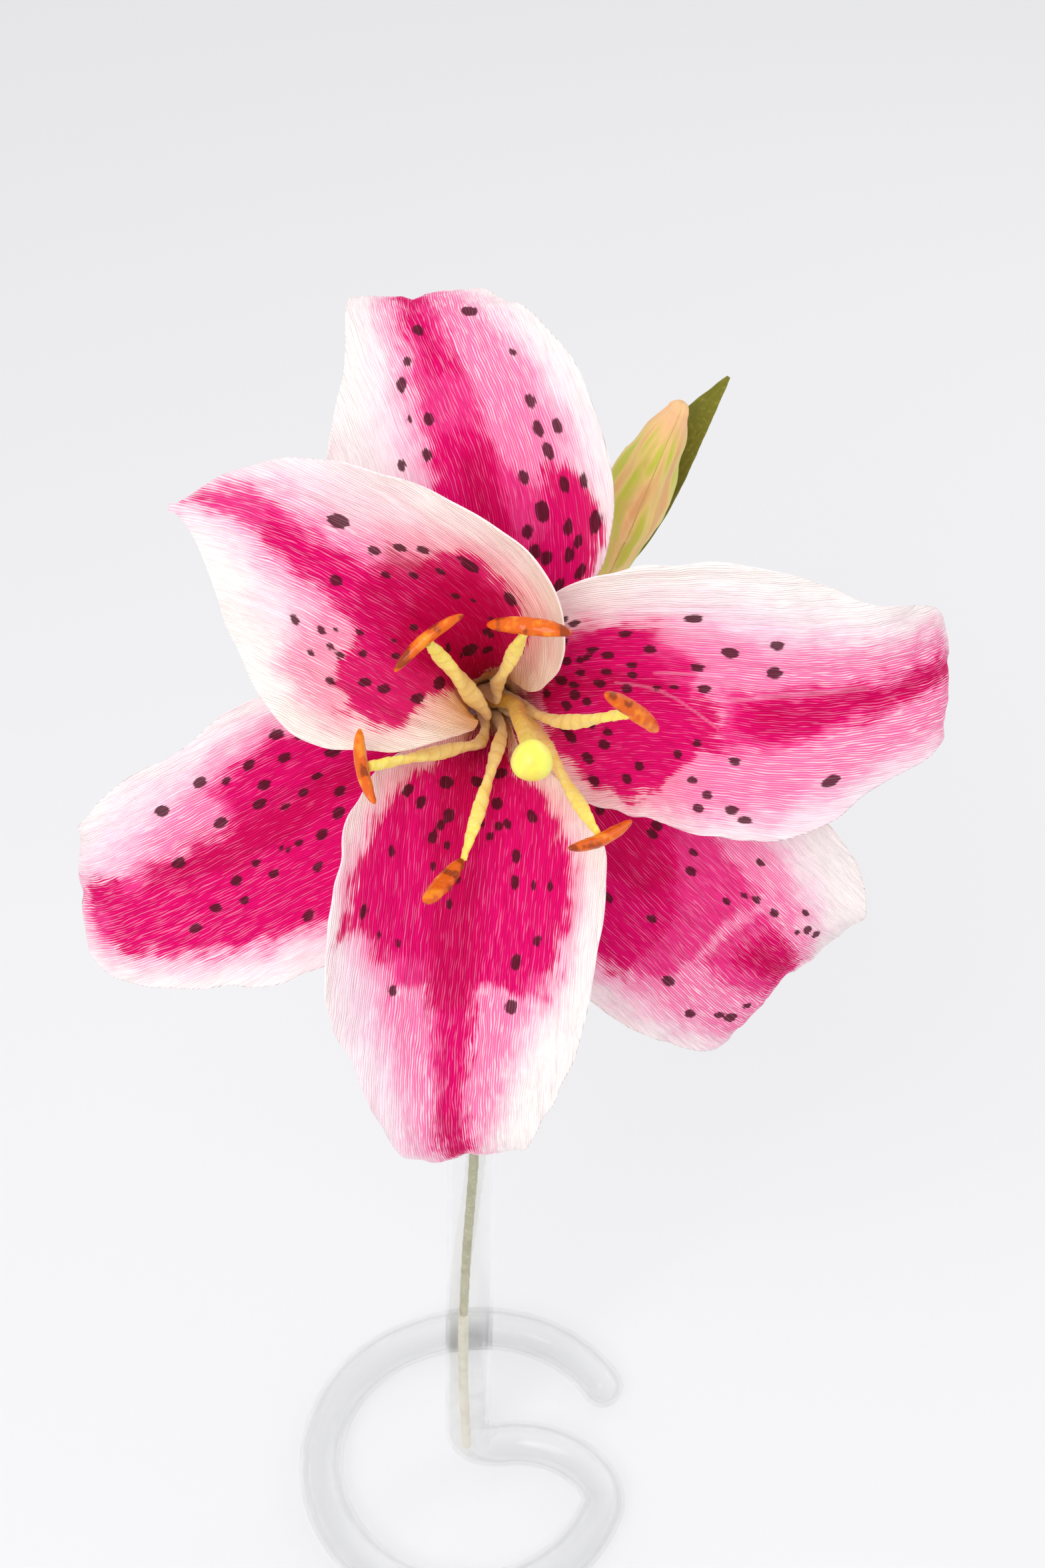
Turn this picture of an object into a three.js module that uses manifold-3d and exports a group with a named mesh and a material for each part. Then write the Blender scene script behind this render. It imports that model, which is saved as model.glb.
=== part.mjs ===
// A crepe-paper stargazer lily in a slender glass vase, in millimetres, +Z up.
// The vase is one glass tube that stands upright and bends at its foot into a flat ring on the table.
// The origin is on the table, at the middle of the whole object's box, and the flower faces -Y.
import * as THREE from "three";
import { mergeVertices } from "three/addons/utils/BufferGeometryUtils.js";
import Module from "manifold-3d";

const wasm = await Module();
wasm.setup();

const { degToRad, lerp, clamp, smoothstep } = THREE.MathUtils;
const GAP = 0.3; // between pieces that touch
const WELD_DISTANCE = 1e-4;

// Vase, measured from the axis of its upright tube.
const TUBE_RADIUS = 7.5;
const WALL = 1.3;
const BORE_RADIUS = TUBE_RADIUS - WALL;
const MOUTH_HEIGHT = 200;
const GROUND_FLAT = 0.4; // how much the ring's underside is ground down to stand on
const TUBE_AXIS_HEIGHT = TUBE_RADIUS - GROUND_FLAT;
const BEND_RADIUS = 13;
const BEND_HEADING = 10; // degrees from +X, the way the foot runs out
const RING_CENTRE = new THREE.Vector2(0, -4);
const RING_RADIUS = 49;
const RING_START = -20; // degrees round the ring's centre, from +X
const RING_END = -327;
const RING_FLARE_FROM = -240;
const RING_FLARE = 6;
const LEAD_OUT = 20; // length of the handles of the curve from the bend to the ring
const LEAD_IN = 12;
const END_RINGS = [30, 55, 75]; // latitudes of the tube's rounded end, in degrees
const TUBE_SIDES = 14;
const BORE_SIDES = 10;
const BEND_STEPS = 6;
const LEAD_STEPS = 7;
const RING_STEPS = 32;

// Stem.
const WIRE_RADIUS = 1.7;
const WIRE_POINTS = [[0, 0, 9.5], [-1.4, 0, 45], [-1.8, 0, 78], [-1.8, 0, 90]];
const STEM_RADIUS = 1.5;
const STEM_POINTS = [
  [-1.8, 0, 90.3], [-1.3, 0, 122], [0.3, 0, 170], [1, 1.5, 230], [1.4, 3.6, 300], [1.8, 3.9, 335],
];
const STEM_STRAIGHT = 7; // the stem's last run, in line with the neck
const STEM_SIDES = 10;
const STEM_STEPS = 30;
const WIRE_STEPS = 6;

// Flower. Its own frame has z along the flower's axis and its origin in the throat.
const THROAT = new THREE.Vector3(2.7, -27, 371.4);
const AXIS_RISE = 33; // degrees of the flower's axis above level
const AXIS_TURN = 1.5; // degrees it looks towards +X
const NECK_DEPTH = 26;
const NECK_SIDES = 18;
const NECK_TAPER = 5; // height over which the tape spreads from the stem's end
const NECK_STEP = 2; // height of the widest band, under the outer petals
const CORE_SLACK = 0.45; // the petals' feet curl in a little
const CLAW_DEPTH = 12; // the petals' straight narrow feet, below the throat
const CLAW_ROWS = 3;
const CLAW_CUP = 50; // degrees a foot curls, from its middle to each edge
const INNER = { foot: 2.3, throat: 5, footHalf: 1.8, throatHalf: 4, lean: 14 };
const OUTER = { foot: 3.6, throat: 6.4, footHalf: 2.8, throatHalf: 5.2, lean: 20 };
const CREASE = 8; // degrees each half of a petal rises from its middle line
const PETAL_THICKNESS = 0.8;
const BLADE_ROWS = 20;
const HALF_COLUMNS = 4;
const STEPS_PER_COLUMN = 6; // small steps of the curl between two columns
const STEPS_PER_ROW = 4; // small steps along the midline between two rows
const TIP_ROUNDING = 0.1; // share of the length over which the tip closes
const TIP_CLOSING = 0.96; // 1 would close it to a point
const NARROWEST = 0.6;
const RUFFLE_WAVES = 5;
const RUFFLE_FROM = 0.35; // share of the length at which the ruffle starts
const RUFFLE_FULL = 0.6; // and reaches its full height
const SIDE_PHASE = 1.3; // so that the two edges don't wave together

// One entry for each petal. Each list runs from the throat to the tip in equal steps of the length:
// lean is the midline's angle from the flower's axis, sway its turn to the side, plus and minus the
// half widths on the two sides, and cup how far each side curls up, in degrees. Azimuths are degrees
// round the flower's axis, from the right, against the clock as seen from the front.
const PETALS = [
  {
    name: "inner_petal_front", whorl: INNER, azimuth: 268, length: 125, ruffle: 0.7,
    lean: [16, 60, 92, 105, 162], sway: [-1, -3, 0, 10], twist: -4,
    plus: [9, 26.5, 25.5, 19, 9], minus: [15, 30, 30.5, 18, 9.5],
    cupPlus: [28, 35, 5, -15], cupMinus: [28, 38, 13, -5],
  },
  {
    name: "inner_petal_left", whorl: INNER, azimuth: 146, length: 103, ruffle: 0.6,
    lean: [15, 45, 78, 89, 101], sway: [-22, -1, 11, 30], twist: 1,
    plus: [11, 26.5, 34, 21.5, 0], minus: [16.5, 29, 24, 16, 0],
    cupPlus: [85, 37, 12, 0], cupMinus: [128, 52, 19, -3],
  },
  {
    name: "inner_petal_right", whorl: INNER, azimuth: 22, length: 115, ruffle: 1.1,
    lean: [48, 65, 90, 111, 169], sway: [-7, -26, -15, -1], twist: 6,
    plus: [21.5, 29, 26, 18, 14], minus: [23.5, 28.5, 29, 17.5, 9],
    cupPlus: [31, 12, 5, -3], cupMinus: [7, -3, -12, -28],
  },
  {
    name: "outer_petal_top", whorl: OUTER, azimuth: 99, length: 105, ruffle: 0.8,
    lean: [59, 74, 97, 129, 182], sway: [-12, 9, 16, -6], twist: 2,
    plus: [12, 26.5, 29.5, 17, 11], minus: [14.5, 25, 25.5, 20.5, 14.5],
    cupPlus: [18, 6, 4, 0], cupMinus: [12, 6, -11, -17],
  },
  {
    name: "outer_petal_left", whorl: OUTER, azimuth: 208, length: 106, ruffle: 1,
    lean: [67, 84, 98, 108, 159], sway: [-8, 2, 2, -5], twist: 10,
    plus: [15, 33, 34.5, 25.5, 14], minus: [11, 21, 19, 17.5, 9.5],
    cupPlus: [18, 15, 13, 10], cupMinus: [17, 4, -10, -16],
  },
  {
    name: "outer_petal_right", whorl: OUTER, azimuth: 336, length: 103, ruffle: 1,
    lean: [101, 93, 99, 122, 169], sway: [-27, -20, -20, -3], twist: 16,
    plus: [15, 30, 35, 29, 13], minus: [12.5, 28.5, 32, 26.5, 18],
    cupPlus: [11, 6, 12, 17], cupMinus: [10, 9, 6, -21],
  },
];

// Stamens: where each anther's middle stands from the throat, which way the anther points, how far
// it is rolled about its length, and the filament's path from the neck up to it.
const STAMENS = [
  {
    name: "upper_left", azimuth: 123, lean: 21.7, reach: 61.8, turn: 41, pitch: -3, roll: 0, thick: 1.3,
    foot: 185, path: [[-1, -1.3, 12], [-3.4, 3.6, 26], [-6.6, 9.3, 36]],
  },
  {
    name: "top", azimuth: 74, lean: 22.1, reach: 61.7, turn: -2, pitch: 20, roll: 55, thick: 1.05,
    foot: 125, path: [[0.8, 2.3, 12], [0.8, 6.1, 20], [2.6, 12.2, 36]],
  },
  {
    name: "right", azimuth: 15.6, lean: 24.2, reach: 66.2, turn: -37, pitch: -35, roll: 30, thick: 1,
    foot: 25, path: [[8.4, -0.1, 14], [10.2, 0.2, 22], [14.9, 1, 34]],
  },
  {
    name: "lower_right", azimuth: 323.5, lean: 21.5, reach: 70.2, turn: 15, pitch: -42, roll: 30, thick: 1,
    foot: 330, path: [[8.4, -2.4, 14], [10.5, -4.4, 24.5], [14.6, -9.5, 41]],
  },
  {
    name: "front", azimuth: 251, lean: 22.2, reach: 70, turn: 217, pitch: 60, roll: -10, thick: 1,
    foot: 280, path: [[2.2, -4.4, 13], [1.3, -6.4, 24], [-1, -12, 38]], heldByEnd: true,
  },
  {
    name: "left", azimuth: 188.7, lean: 20.6, reach: 67.6, turn: -74, pitch: 42, roll: 15, thick: 1,
    foot: 232, path: [[-1.3, -4.1, 12], [-2.3, -5.9, 20], [-6.6, -5.2, 32]],
  },
];
const ANTHER_HALF = new THREE.Vector3(8.5, 1.8, 1.25); // half length, width and thickness
const ANTHER_BULGE = 1; // how far its middle stands out from its ends
const ANTHER_SIDES = 10;
const FILAMENT_FOOT = -0.6;
const FILAMENT_UPRIGHT = 1.5; // height of its first, upright run
const FILAMENT_FOOT_RADIUS = 0.9;
const FILAMENT_LOW_RADIUS = 0.95;
const FILAMENT_END_RADIUS = 0.75;
const FILAMENT_SIDES = 8;
const FILAMENT_STEPS = 12;
const RING_OF_FILAMENTS = 3.1;
const STYLE_POINTS = [
  [0, 0, -0.4], [0.2, 0.1, 1.5], [2.2, 1, 7], [4.8, 1.2, 14],
  [5.4, 0.2, 24], [6.8, -0.5, 44], [7.3, -0.4, 71.6],
];
const STYLE_RADIUS = 1.6;
const STYLE_TOP_RADIUS = 2;
const STYLE_STEPS = 15;
const STIGMA_RADIUS = 3.9;
const STIGMA_RINGS = [-45, -25, 0, 25, 45, 65, 82]; // latitudes, in degrees
const PISTIL_SIDES = 12;

// Bud and leaf, measured from the axis of the upright tube.
const BUD_POINTS = [[25.5, 5, 379], [30.8, 5, 398.5], [35, 5, 413.4], [39.4, 5, 426]];
const BUD_RADII = [1.9, 4.2, 5.8, 6.7, 7, 6.6, 5.6, 4.3, 2.4]; // at equal steps, from the foot to the tip
const BUD_LOBES = 3;
const BUD_LOBE_DEPTH = 0.08;
const BUD_SIDES = 20;
const BUD_STEPS = 14;
const BUD_CAP_RINGS = [35, 65]; // latitudes of its rounded tip, in degrees
const STALK_RADIUS = 1.2;
const STALK_SIDES = 8;
const STALK_STEPS = 10;
const STALK_POINTS = [[4.4, 4.9, 340], [9, 6, 351], [18, 5.6, 365]];
const LEAF_POINTS = [
  [1.6, 6.5, 328], [8.5, 9.5, 350], [18.7, 13, 373], [29.5, 14, 391.5], [39.6, 14, 410.3], [50.2, 14, 429.2],
];
const LEAF_HALF_WIDTHS = [1.3, 2.4, 4.3, 6.6, 8.2, 8.3, 6.8, 3.8, 0.4];
const LEAF_FACING = new THREE.Vector3(0.1, -0.8, 0.6);
const LEAF_CREASE = 14;
const LEAF_THICKNESS = 0.8;
const LEAF_ROWS = 16;
const LEAF_HALF_COLUMNS = 3;

// A material of one colour.
function paint(color, roughness) {
  return new THREE.MeshStandardMaterial({ color, roughness, metalness: 0 });
}

const GLASS = paint("#e8f0ee", 0.05);
GLASS.transparent = true;
GLASS.opacity = 0.35;
const PETAL_PAPER = paint("#d81f7c", 0.85);
const STEM_TAPE = paint("#7f8048", 0.8);
const WIRE_PAPER = paint("#d6cfb2", 0.8);
const NECK_TAPE = paint("#9aa860", 0.8);
const FILAMENT_TAPE = paint("#e6dc78", 0.8);
const ANTHER_VARNISH = paint("#c4610c", 0.25);
const STIGMA_PAINT = paint("#dfe85a", 0.5);
const BUD_PAPER = paint("#d9cf7a", 0.8);
const LEAF_PAPER = paint("#5a5805", 0.7);

// A smooth value at t, from 0 to 1, through numbers that stand at equal steps.
function through(stations, t) {
  const last = stations.length - 1;
  const place = clamp(t, 0, 1) * last;
  const i = Math.min(Math.floor(place), last - 1);
  const f = place - i;
  const b = stations[i];
  const c = stations[i + 1];
  const a = i > 0 ? stations[i - 1] : 2 * b - c;
  const d = i < last - 1 ? stations[i + 2] : 2 * c - b;
  return b + 0.5 * f * (c - a + f * (2 * a - 5 * b + 4 * c - d + f * (3 * (b - c) + d - a)));
}

// A closed solid from indexed points.
function geometryOf(points, faces) {
  const geometry = new THREE.BufferGeometry().setFromPoints(points);
  geometry.setIndex(faces.flat());
  geometry.computeVertexNormals();
  return geometry;
}

// A solid round bar through stations of { point, radius }, with flat ends.
function bar(stations, sides, section = () => 1) {
  const count = stations.length;
  const tangents = stations.map((_, i) =>
    stations[Math.min(i + 1, count - 1)].point.clone().sub(stations[Math.max(i - 1, 0)].point).normalize(),
  );
  const side = new THREE.Vector3(1, 0, 0).cross(tangents[0]);
  if (side.length() < 0.1) side.set(0, 1, 0).cross(tangents[0]);
  side.normalize();
  const points = [];
  for (let i = 0; i < count; i++) {
    const { point, radius } = stations[i];
    side.addScaledVector(tangents[i], -side.dot(tangents[i])).normalize();
    const other = tangents[i].clone().cross(side);
    for (let k = 0; k < sides; k++) {
      const angle = (2 * Math.PI * k) / sides;
      const r = radius * section(angle, i / (count - 1));
      points.push(
        point.clone().addScaledVector(side, r * Math.cos(angle)).addScaledVector(other, r * Math.sin(angle)),
      );
    }
  }
  const foot = points.push(stations[0].point.clone()) - 1;
  const head = points.push(stations[count - 1].point.clone()) - 1;
  const faces = [];
  for (let k = 0; k < sides; k++) {
    const next = (k + 1) % sides;
    faces.push([foot, next, k]);
    faces.push([head, (count - 1) * sides + k, (count - 1) * sides + next]);
    for (let i = 0; i < count - 1; i++) {
      const a = i * sides + k;
      const b = i * sides + next;
      faces.push([a, b, b + sides], [a, b + sides, a + sides]);
    }
  }
  return geometryOf(points, faces);
}

// Stations along a smooth curve, the radius given by a function of the share of its length.
function along(curve, steps, radiusAt) {
  return curve.getSpacedPoints(steps).map((point, i) => ({ point, radius: radiusAt(i / steps) }));
}

// A round rod of one radius along a curve.
function rod(curve, radius, sides, steps) {
  const section = new THREE.Shape().absarc(0, 0, radius, 0, 2 * Math.PI);
  const curveSegments = sides / 2; // an arc gets two points for each
  const bevelEnabled = false;
  return new THREE.ExtrudeGeometry(section, { steps, curveSegments, extrudePath: curve, bevelEnabled });
}

function curveThrough(points) {
  return new THREE.CatmullRomCurve3(points.map((p) => (p.isVector3 ? p : new THREE.Vector3(...p))));
}

// A closed sheet: rows of middle points, pushed half the thickness to each side.
function sheet(rows, thickness) {
  const columns = rows[0].length;
  const at = (i, j) => rows[clamp(i, 0, rows.length - 1)][clamp(j, 0, columns - 1)];
  const front = [];
  const back = [];
  rows.forEach((row, i) =>
    row.forEach((point, j) => {
      const lengthwise = at(i + 1, j).clone().sub(at(i - 1, j));
      const crosswise = at(i, j + 1).clone().sub(at(i, j - 1));
      const normal = lengthwise.cross(crosswise).normalize();
      front.push(point.clone().addScaledVector(normal, thickness / 2));
      back.push(point.clone().addScaledVector(normal, -thickness / 2));
    }),
  );
  const under = front.length;
  const faces = [];
  const index = (i, j) => i * columns + j;
  for (let i = 0; i < rows.length - 1; i++) {
    for (let j = 0; j < columns - 1; j++) {
      const [a, b, c, d] = [index(i, j), index(i + 1, j), index(i + 1, j + 1), index(i, j + 1)];
      faces.push([a, b, c], [a, c, d]);
      faces.push([under + a, under + c, under + b], [under + a, under + d, under + c]);
    }
  }
  const rim = [];
  for (let j = 0; j < columns - 1; j++) rim.push([index(0, j), index(0, j + 1)]);
  for (let i = 0; i < rows.length - 1; i++) rim.push([index(i, columns - 1), index(i + 1, columns - 1)]);
  for (let j = columns - 1; j > 0; j--) rim.push([index(rows.length - 1, j), index(rows.length - 1, j - 1)]);
  for (let i = rows.length - 1; i > 0; i--) rim.push([index(i, 0), index(i - 1, 0)]);
  for (const [a, b] of rim) faces.push([a, b, under + b], [a, under + b, under + a]);
  return geometryOf([...front, ...back], faces);
}

// Half a cross-section: how far out and up its points lie when a strip of the given width curls by
// the given angle after rising at the crease.
function halfSection(width, crease, cup) {
  const steps = HALF_COLUMNS * STEPS_PER_COLUMN;
  const points = [];
  let out = 0;
  let up = 0;
  for (let k = 0; k < steps; k++) {
    const angle = degToRad(crease + (cup * (k + 0.5)) / steps);
    out += (Math.cos(angle) * width) / steps;
    up += (Math.sin(angle) * width) / steps;
    if ((k + 1) % STEPS_PER_COLUMN === 0) points.push({ out, up });
  }
  return points;
}

// The petal's own axes at t: along its midline, to its plus side, and out of its face.
function petalAxes(petal, t) {
  const azimuth = degToRad(petal.azimuth);
  const lean = degToRad(through([petal.whorl.lean, ...petal.lean], t));
  const sway = degToRad(through([0, ...petal.sway], t));
  const twist = degToRad(petal.twist * t);
  const outward = new THREE.Vector3(Math.cos(azimuth), Math.sin(azimuth), 0);
  const plus = new THREE.Vector3(-Math.sin(azimuth), Math.cos(azimuth), 0);
  const up = new THREE.Vector3(0, 0, 1);
  const ahead = outward.clone().multiplyScalar(Math.sin(lean)).addScaledVector(up, Math.cos(lean));
  const face = outward.clone().multiplyScalar(-Math.cos(lean)).addScaledVector(up, Math.sin(lean));
  const forward = ahead.clone().multiplyScalar(Math.cos(sway)).addScaledVector(plus, Math.sin(sway));
  const aside = ahead.clone().multiplyScalar(-Math.sin(sway)).addScaledVector(plus, Math.cos(sway));
  return {
    forward,
    aside: aside.clone().multiplyScalar(Math.cos(twist)).addScaledVector(face, Math.sin(twist)),
    face: aside.clone().multiplyScalar(-Math.sin(twist)).addScaledVector(face, Math.cos(twist)),
  };
}

// One row of a petal: a point on the midline with the curled halves to each side.
function petalRow(middle, axes, plus, minus, lift) {
  const place = (half, way) =>
    half.map(({ out, up }, k) => {
      const edge = (k + 1) / HALF_COLUMNS;
      const point = middle.clone().addScaledVector(axes.aside, way * out);
      return point.addScaledVector(axes.face, up + lift(way, edge));
    });
  return [...place(minus, -1).reverse(), middle.clone(), ...place(plus, 1)];
}

// A petal's rows: its straight foot round the neck, then its blade.
function petalRows(petal) {
  const { whorl } = petal;
  const azimuth = degToRad(petal.azimuth);
  const outward = new THREE.Vector3(Math.cos(azimuth), Math.sin(azimuth), 0);
  const rows = [];
  for (let i = 0; i < CLAW_ROWS; i++) {
    const share = i / CLAW_ROWS;
    const middle = outward.clone().multiplyScalar(lerp(whorl.foot, whorl.throat, share));
    middle.z = -CLAW_DEPTH * (1 - share);
    const half = halfSection(lerp(whorl.footHalf, whorl.throatHalf, share), 0, CLAW_CUP);
    rows.push(petalRow(middle, petalAxes(petal, 0), half, half, () => 0));
  }
  const middle = outward.clone().multiplyScalar(whorl.throat);
  const stride = 1 / (STEPS_PER_ROW * BLADE_ROWS);
  for (let i = 0; i <= BLADE_ROWS; i++) {
    const t = i / BLADE_ROWS;
    const closing = clamp((t - 1 + TIP_ROUNDING) / TIP_ROUNDING, 0, 1);
    const tip = Math.sqrt(1 - TIP_CLOSING * closing * closing);
    const crease = through([0, CREASE, CREASE, CREASE, CREASE, CREASE], t);
    const halfOf = (widths, cups) =>
      halfSection(
        Math.max(NARROWEST, tip * through([whorl.throatHalf, ...widths], t)),
        crease,
        through([CLAW_CUP, ...cups], t),
      );
    const wave = petal.ruffle * smoothstep(t, RUFFLE_FROM, RUFFLE_FULL);
    const lift = (way, edge) =>
      wave * edge * edge * Math.sin(2 * Math.PI * RUFFLE_WAVES * t + way * SIDE_PHASE + azimuth * 2);
    const plus = halfOf(petal.plus, petal.cupPlus);
    const minus = halfOf(petal.minus, petal.cupMinus);
    rows.push(petalRow(middle, petalAxes(petal, t), plus, minus, lift));
    for (let k = 0; k < STEPS_PER_ROW; k++) {
      middle.addScaledVector(petalAxes(petal, t + (k + 0.5) * stride).forward, petal.length * stride);
    }
  }
  return rows;
}

// The same geometry with one point where several stood together.
function welded(geometry) {
  const bare = geometry.clone();
  bare.deleteAttribute("normal");
  bare.deleteAttribute("uv");
  return mergeVertices(bare, WELD_DISTANCE);
}

// A three.js geometry as a solid that can be cut, and back.
function solidOf(geometry) {
  const merged = welded(geometry);
  const mesh = new wasm.Mesh({
    numProp: 3,
    vertProperties: merged.attributes.position.array,
    triVerts: new Uint32Array(merged.index.array),
  });
  return new wasm.Manifold(mesh);
}

function geometryFrom(solid) {
  const mesh = solid.getMesh();
  const geometry = new THREE.BufferGeometry();
  geometry.setAttribute("position", new THREE.BufferAttribute(mesh.vertProperties, 3));
  geometry.setIndex(new THREE.BufferAttribute(mesh.triVerts, 1));
  geometry.computeVertexNormals();
  return geometry;
}

// The middle line of the glass tube below its upright part: the bend, the lead and the ring.
function footLine() {
  const heading = degToRad(BEND_HEADING);
  const way = new THREE.Vector2(Math.cos(heading), Math.sin(heading));
  const points = [];
  for (let i = 0; i <= BEND_STEPS; i++) {
    const angle = (i / BEND_STEPS) * (Math.PI / 2);
    const out = BEND_RADIUS * (1 - Math.cos(angle));
    const height = TUBE_AXIS_HEIGHT + BEND_RADIUS * (1 - Math.sin(angle));
    points.push(new THREE.Vector3(out * way.x, out * way.y, height));
  }
  const ringPoint = (degrees) => {
    const radius = RING_RADIUS + smoothstep(-degrees, -RING_FLARE_FROM, -RING_END) * RING_FLARE;
    const angle = degToRad(degrees);
    return new THREE.Vector2(Math.cos(angle), Math.sin(angle)).multiplyScalar(radius).add(RING_CENTRE);
  };
  const from = way.clone().multiplyScalar(BEND_RADIUS);
  const onto = ringPoint(RING_START);
  const arrival = degToRad(RING_START - 90);
  const after = from.clone().addScaledVector(way, LEAD_OUT);
  const intoRing = new THREE.Vector2(Math.cos(arrival), Math.sin(arrival));
  const before = onto.clone().addScaledVector(intoRing, -LEAD_IN);
  const lead = new THREE.CubicBezierCurve(from, after, before, onto);
  const flat = lead.getSpacedPoints(LEAD_STEPS).slice(1, -1);
  for (let i = 0; i <= RING_STEPS; i++) flat.push(ringPoint(lerp(RING_START, RING_END, i / RING_STEPS)));
  return [...points, ...flat.map((p) => new THREE.Vector3(p.x, p.y, TUBE_AXIS_HEIGHT))];
}

// Stations that round off the end of a tube's middle line.
function roundedEnd(line, radius) {
  const end = line[line.length - 1];
  const way = end.clone().sub(line[line.length - 2]).normalize();
  return END_RINGS.map((degrees) => ({
    point: end.clone().addScaledVector(way, radius * Math.sin(degToRad(degrees))),
    radius: radius * Math.cos(degToRad(degrees)),
  }));
}

function tube(top, radius, sides) {
  const line = [new THREE.Vector3(0, 0, top), ...footLine()];
  const stations = line.map((point) => ({ point, radius }));
  return solidOf(bar([...stations, ...roundedEnd(line, radius)], sides));
}

function vase() {
  const above = 2; // the bore runs past the mouth, so that the cut is clean
  const size = 400; // wider than the ring
  const depth = 20;
  const below = new THREE.BoxGeometry(size, size, depth).translate(0, 0, -depth / 2);
  const glass = tube(MOUTH_HEIGHT, TUBE_RADIUS, TUBE_SIDES)
    .subtract(tube(MOUTH_HEIGHT + above, BORE_RADIUS, BORE_SIDES))
    .subtract(solidOf(below));
  return geometryFrom(glass);
}

// The lathe of the neck: a taped cone up to a step, and the core that the petals' feet stand round.
function neck() {
  const tape = 0.1; // thickness of one layer
  const spread = 0.9; // by how much the tape widens over its taper
  const overhang = 0.5; // of the step beyond the outer petals' feet
  const coreHeight = -1.2;
  const crownHeight = -1;
  const inset = PETAL_THICKNESS / 2 + GAP + CORE_SLACK;
  const seat = -CLAW_DEPTH - GAP - tape;
  const step = OUTER.foot + PETAL_THICKNESS / 2 + overhang;
  const profile = [
    [0, -NECK_DEPTH],
    [STEM_RADIUS + tape, -NECK_DEPTH],
    [STEM_RADIUS + spread, -NECK_DEPTH + NECK_TAPER],
    [step, -CLAW_DEPTH - NECK_STEP],
    [step, seat],
    [INNER.foot - inset, seat],
    [INNER.throat - inset, coreHeight],
    [0, crownHeight],
  ];
  const points = profile.map(([r, z]) => new THREE.Vector2(r, z));
  return new THREE.LatheGeometry(points, NECK_SIDES).rotateX(Math.PI / 2);
}

const styleLine = curveThrough(STYLE_POINTS);

// The style, a thin bar, with the ball of the stigma at its end.
function pistil() {
  const sunk = 0.9; // the style ends inside the ball, at this share of its radius
  const top = styleLine.getPointAt(1);
  const way = styleLine.getTangentAt(1);
  const styleShare = 1 - (STIGMA_RADIUS * sunk) / styleLine.getLength();
  const stations = [];
  for (let i = 0; i <= STYLE_STEPS; i++) {
    const share = (styleShare * i) / STYLE_STEPS;
    const radius = lerp(STYLE_RADIUS, STYLE_TOP_RADIUS, share);
    stations.push({ point: styleLine.getPointAt(share), radius });
  }
  for (const degrees of STIGMA_RINGS) {
    const angle = degToRad(degrees);
    stations.push({
      point: top.clone().addScaledVector(way, STIGMA_RADIUS * Math.sin(angle)),
      radius: STIGMA_RADIUS * Math.cos(angle),
    });
  }
  return bar(stations, PISTIL_SIDES);
}

// The anther's middle and its own axes: along its length, across its width, and out of its back.
function antherPlace(stamen) {
  const azimuth = degToRad(stamen.azimuth);
  const lean = degToRad(stamen.lean);
  const turn = degToRad(stamen.turn);
  const pitch = degToRad(stamen.pitch);
  const middle = new THREE.Vector3(
    Math.sin(lean) * Math.cos(azimuth), Math.sin(lean) * Math.sin(azimuth), Math.cos(lean),
  ).multiplyScalar(stamen.reach);
  const length = new THREE.Vector3(
    Math.cos(pitch) * Math.cos(turn), Math.cos(pitch) * Math.sin(turn), Math.sin(pitch),
  );
  const arrival = middle.clone().sub(new THREE.Vector3(...stamen.path[stamen.path.length - 1])).normalize();
  const outward = new THREE.Vector3(Math.cos(azimuth), Math.sin(azimuth), 0);
  const back = outward.addScaledVector(length, -outward.dot(length)).normalize();
  back.applyAxisAngle(length, degToRad(stamen.roll));
  return { middle, length, width: back.clone().cross(length), back, arrival };
}

// A ball drawn out along the anther's length and bent so that its middle stands out.
function anther(stamen) {
  const { middle, length, width, back } = antherPlace(stamen);
  const merged = welded(new THREE.SphereGeometry(1, ANTHER_SIDES, ANTHER_SIDES).rotateZ(-Math.PI / 2));
  const place = merged.attributes.position;
  for (let i = 0; i < place.count; i++) {
    const [x, y, z] = [place.getX(i), place.getY(i), place.getZ(i)];
    const point = middle.clone()
      .addScaledVector(length, x * ANTHER_HALF.x)
      .addScaledVector(width, y * ANTHER_HALF.y)
      .addScaledVector(back, z * ANTHER_HALF.z + ANTHER_BULGE * (1 - x * x));
    place.setXYZ(i, point.x, point.y, point.z);
  }
  merged.computeVertexNormals();
  return merged;
}

// A filament starts at the neck and stops just short of its anther.
function filament(stamen) {
  const { middle, length, width, back, arrival } = antherPlace(stamen);
  const way = stamen.heldByEnd ? length : arrival;
  const inside = new THREE.Vector3(way.dot(length), way.dot(width), way.dot(back));
  const surface = 1 / inside.divide(ANTHER_HALF).length();
  const contact = (way.dot(length) * surface) / ANTHER_HALF.x;
  const joint = middle.clone()
    .addScaledVector(back, ANTHER_BULGE * (1 - contact * contact))
    .addScaledVector(way, -surface - GAP - FILAMENT_END_RADIUS / 3);
  const foot = degToRad(stamen.foot);
  const [footX, footY] = [RING_OF_FILAMENTS * Math.cos(foot), RING_OF_FILAMENTS * Math.sin(foot)];
  const start = [FILAMENT_FOOT, FILAMENT_FOOT + FILAMENT_UPRIGHT].map((height) => [footX, footY, height]);
  const line = curveThrough([...start, ...stamen.path, joint]);
  const radii = [FILAMENT_FOOT_RADIUS, FILAMENT_LOW_RADIUS, stamen.thick, stamen.thick, FILAMENT_END_RADIUS];
  return bar(along(line, FILAMENT_STEPS, (share) => through(radii, share)), FILAMENT_SIDES);
}

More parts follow.
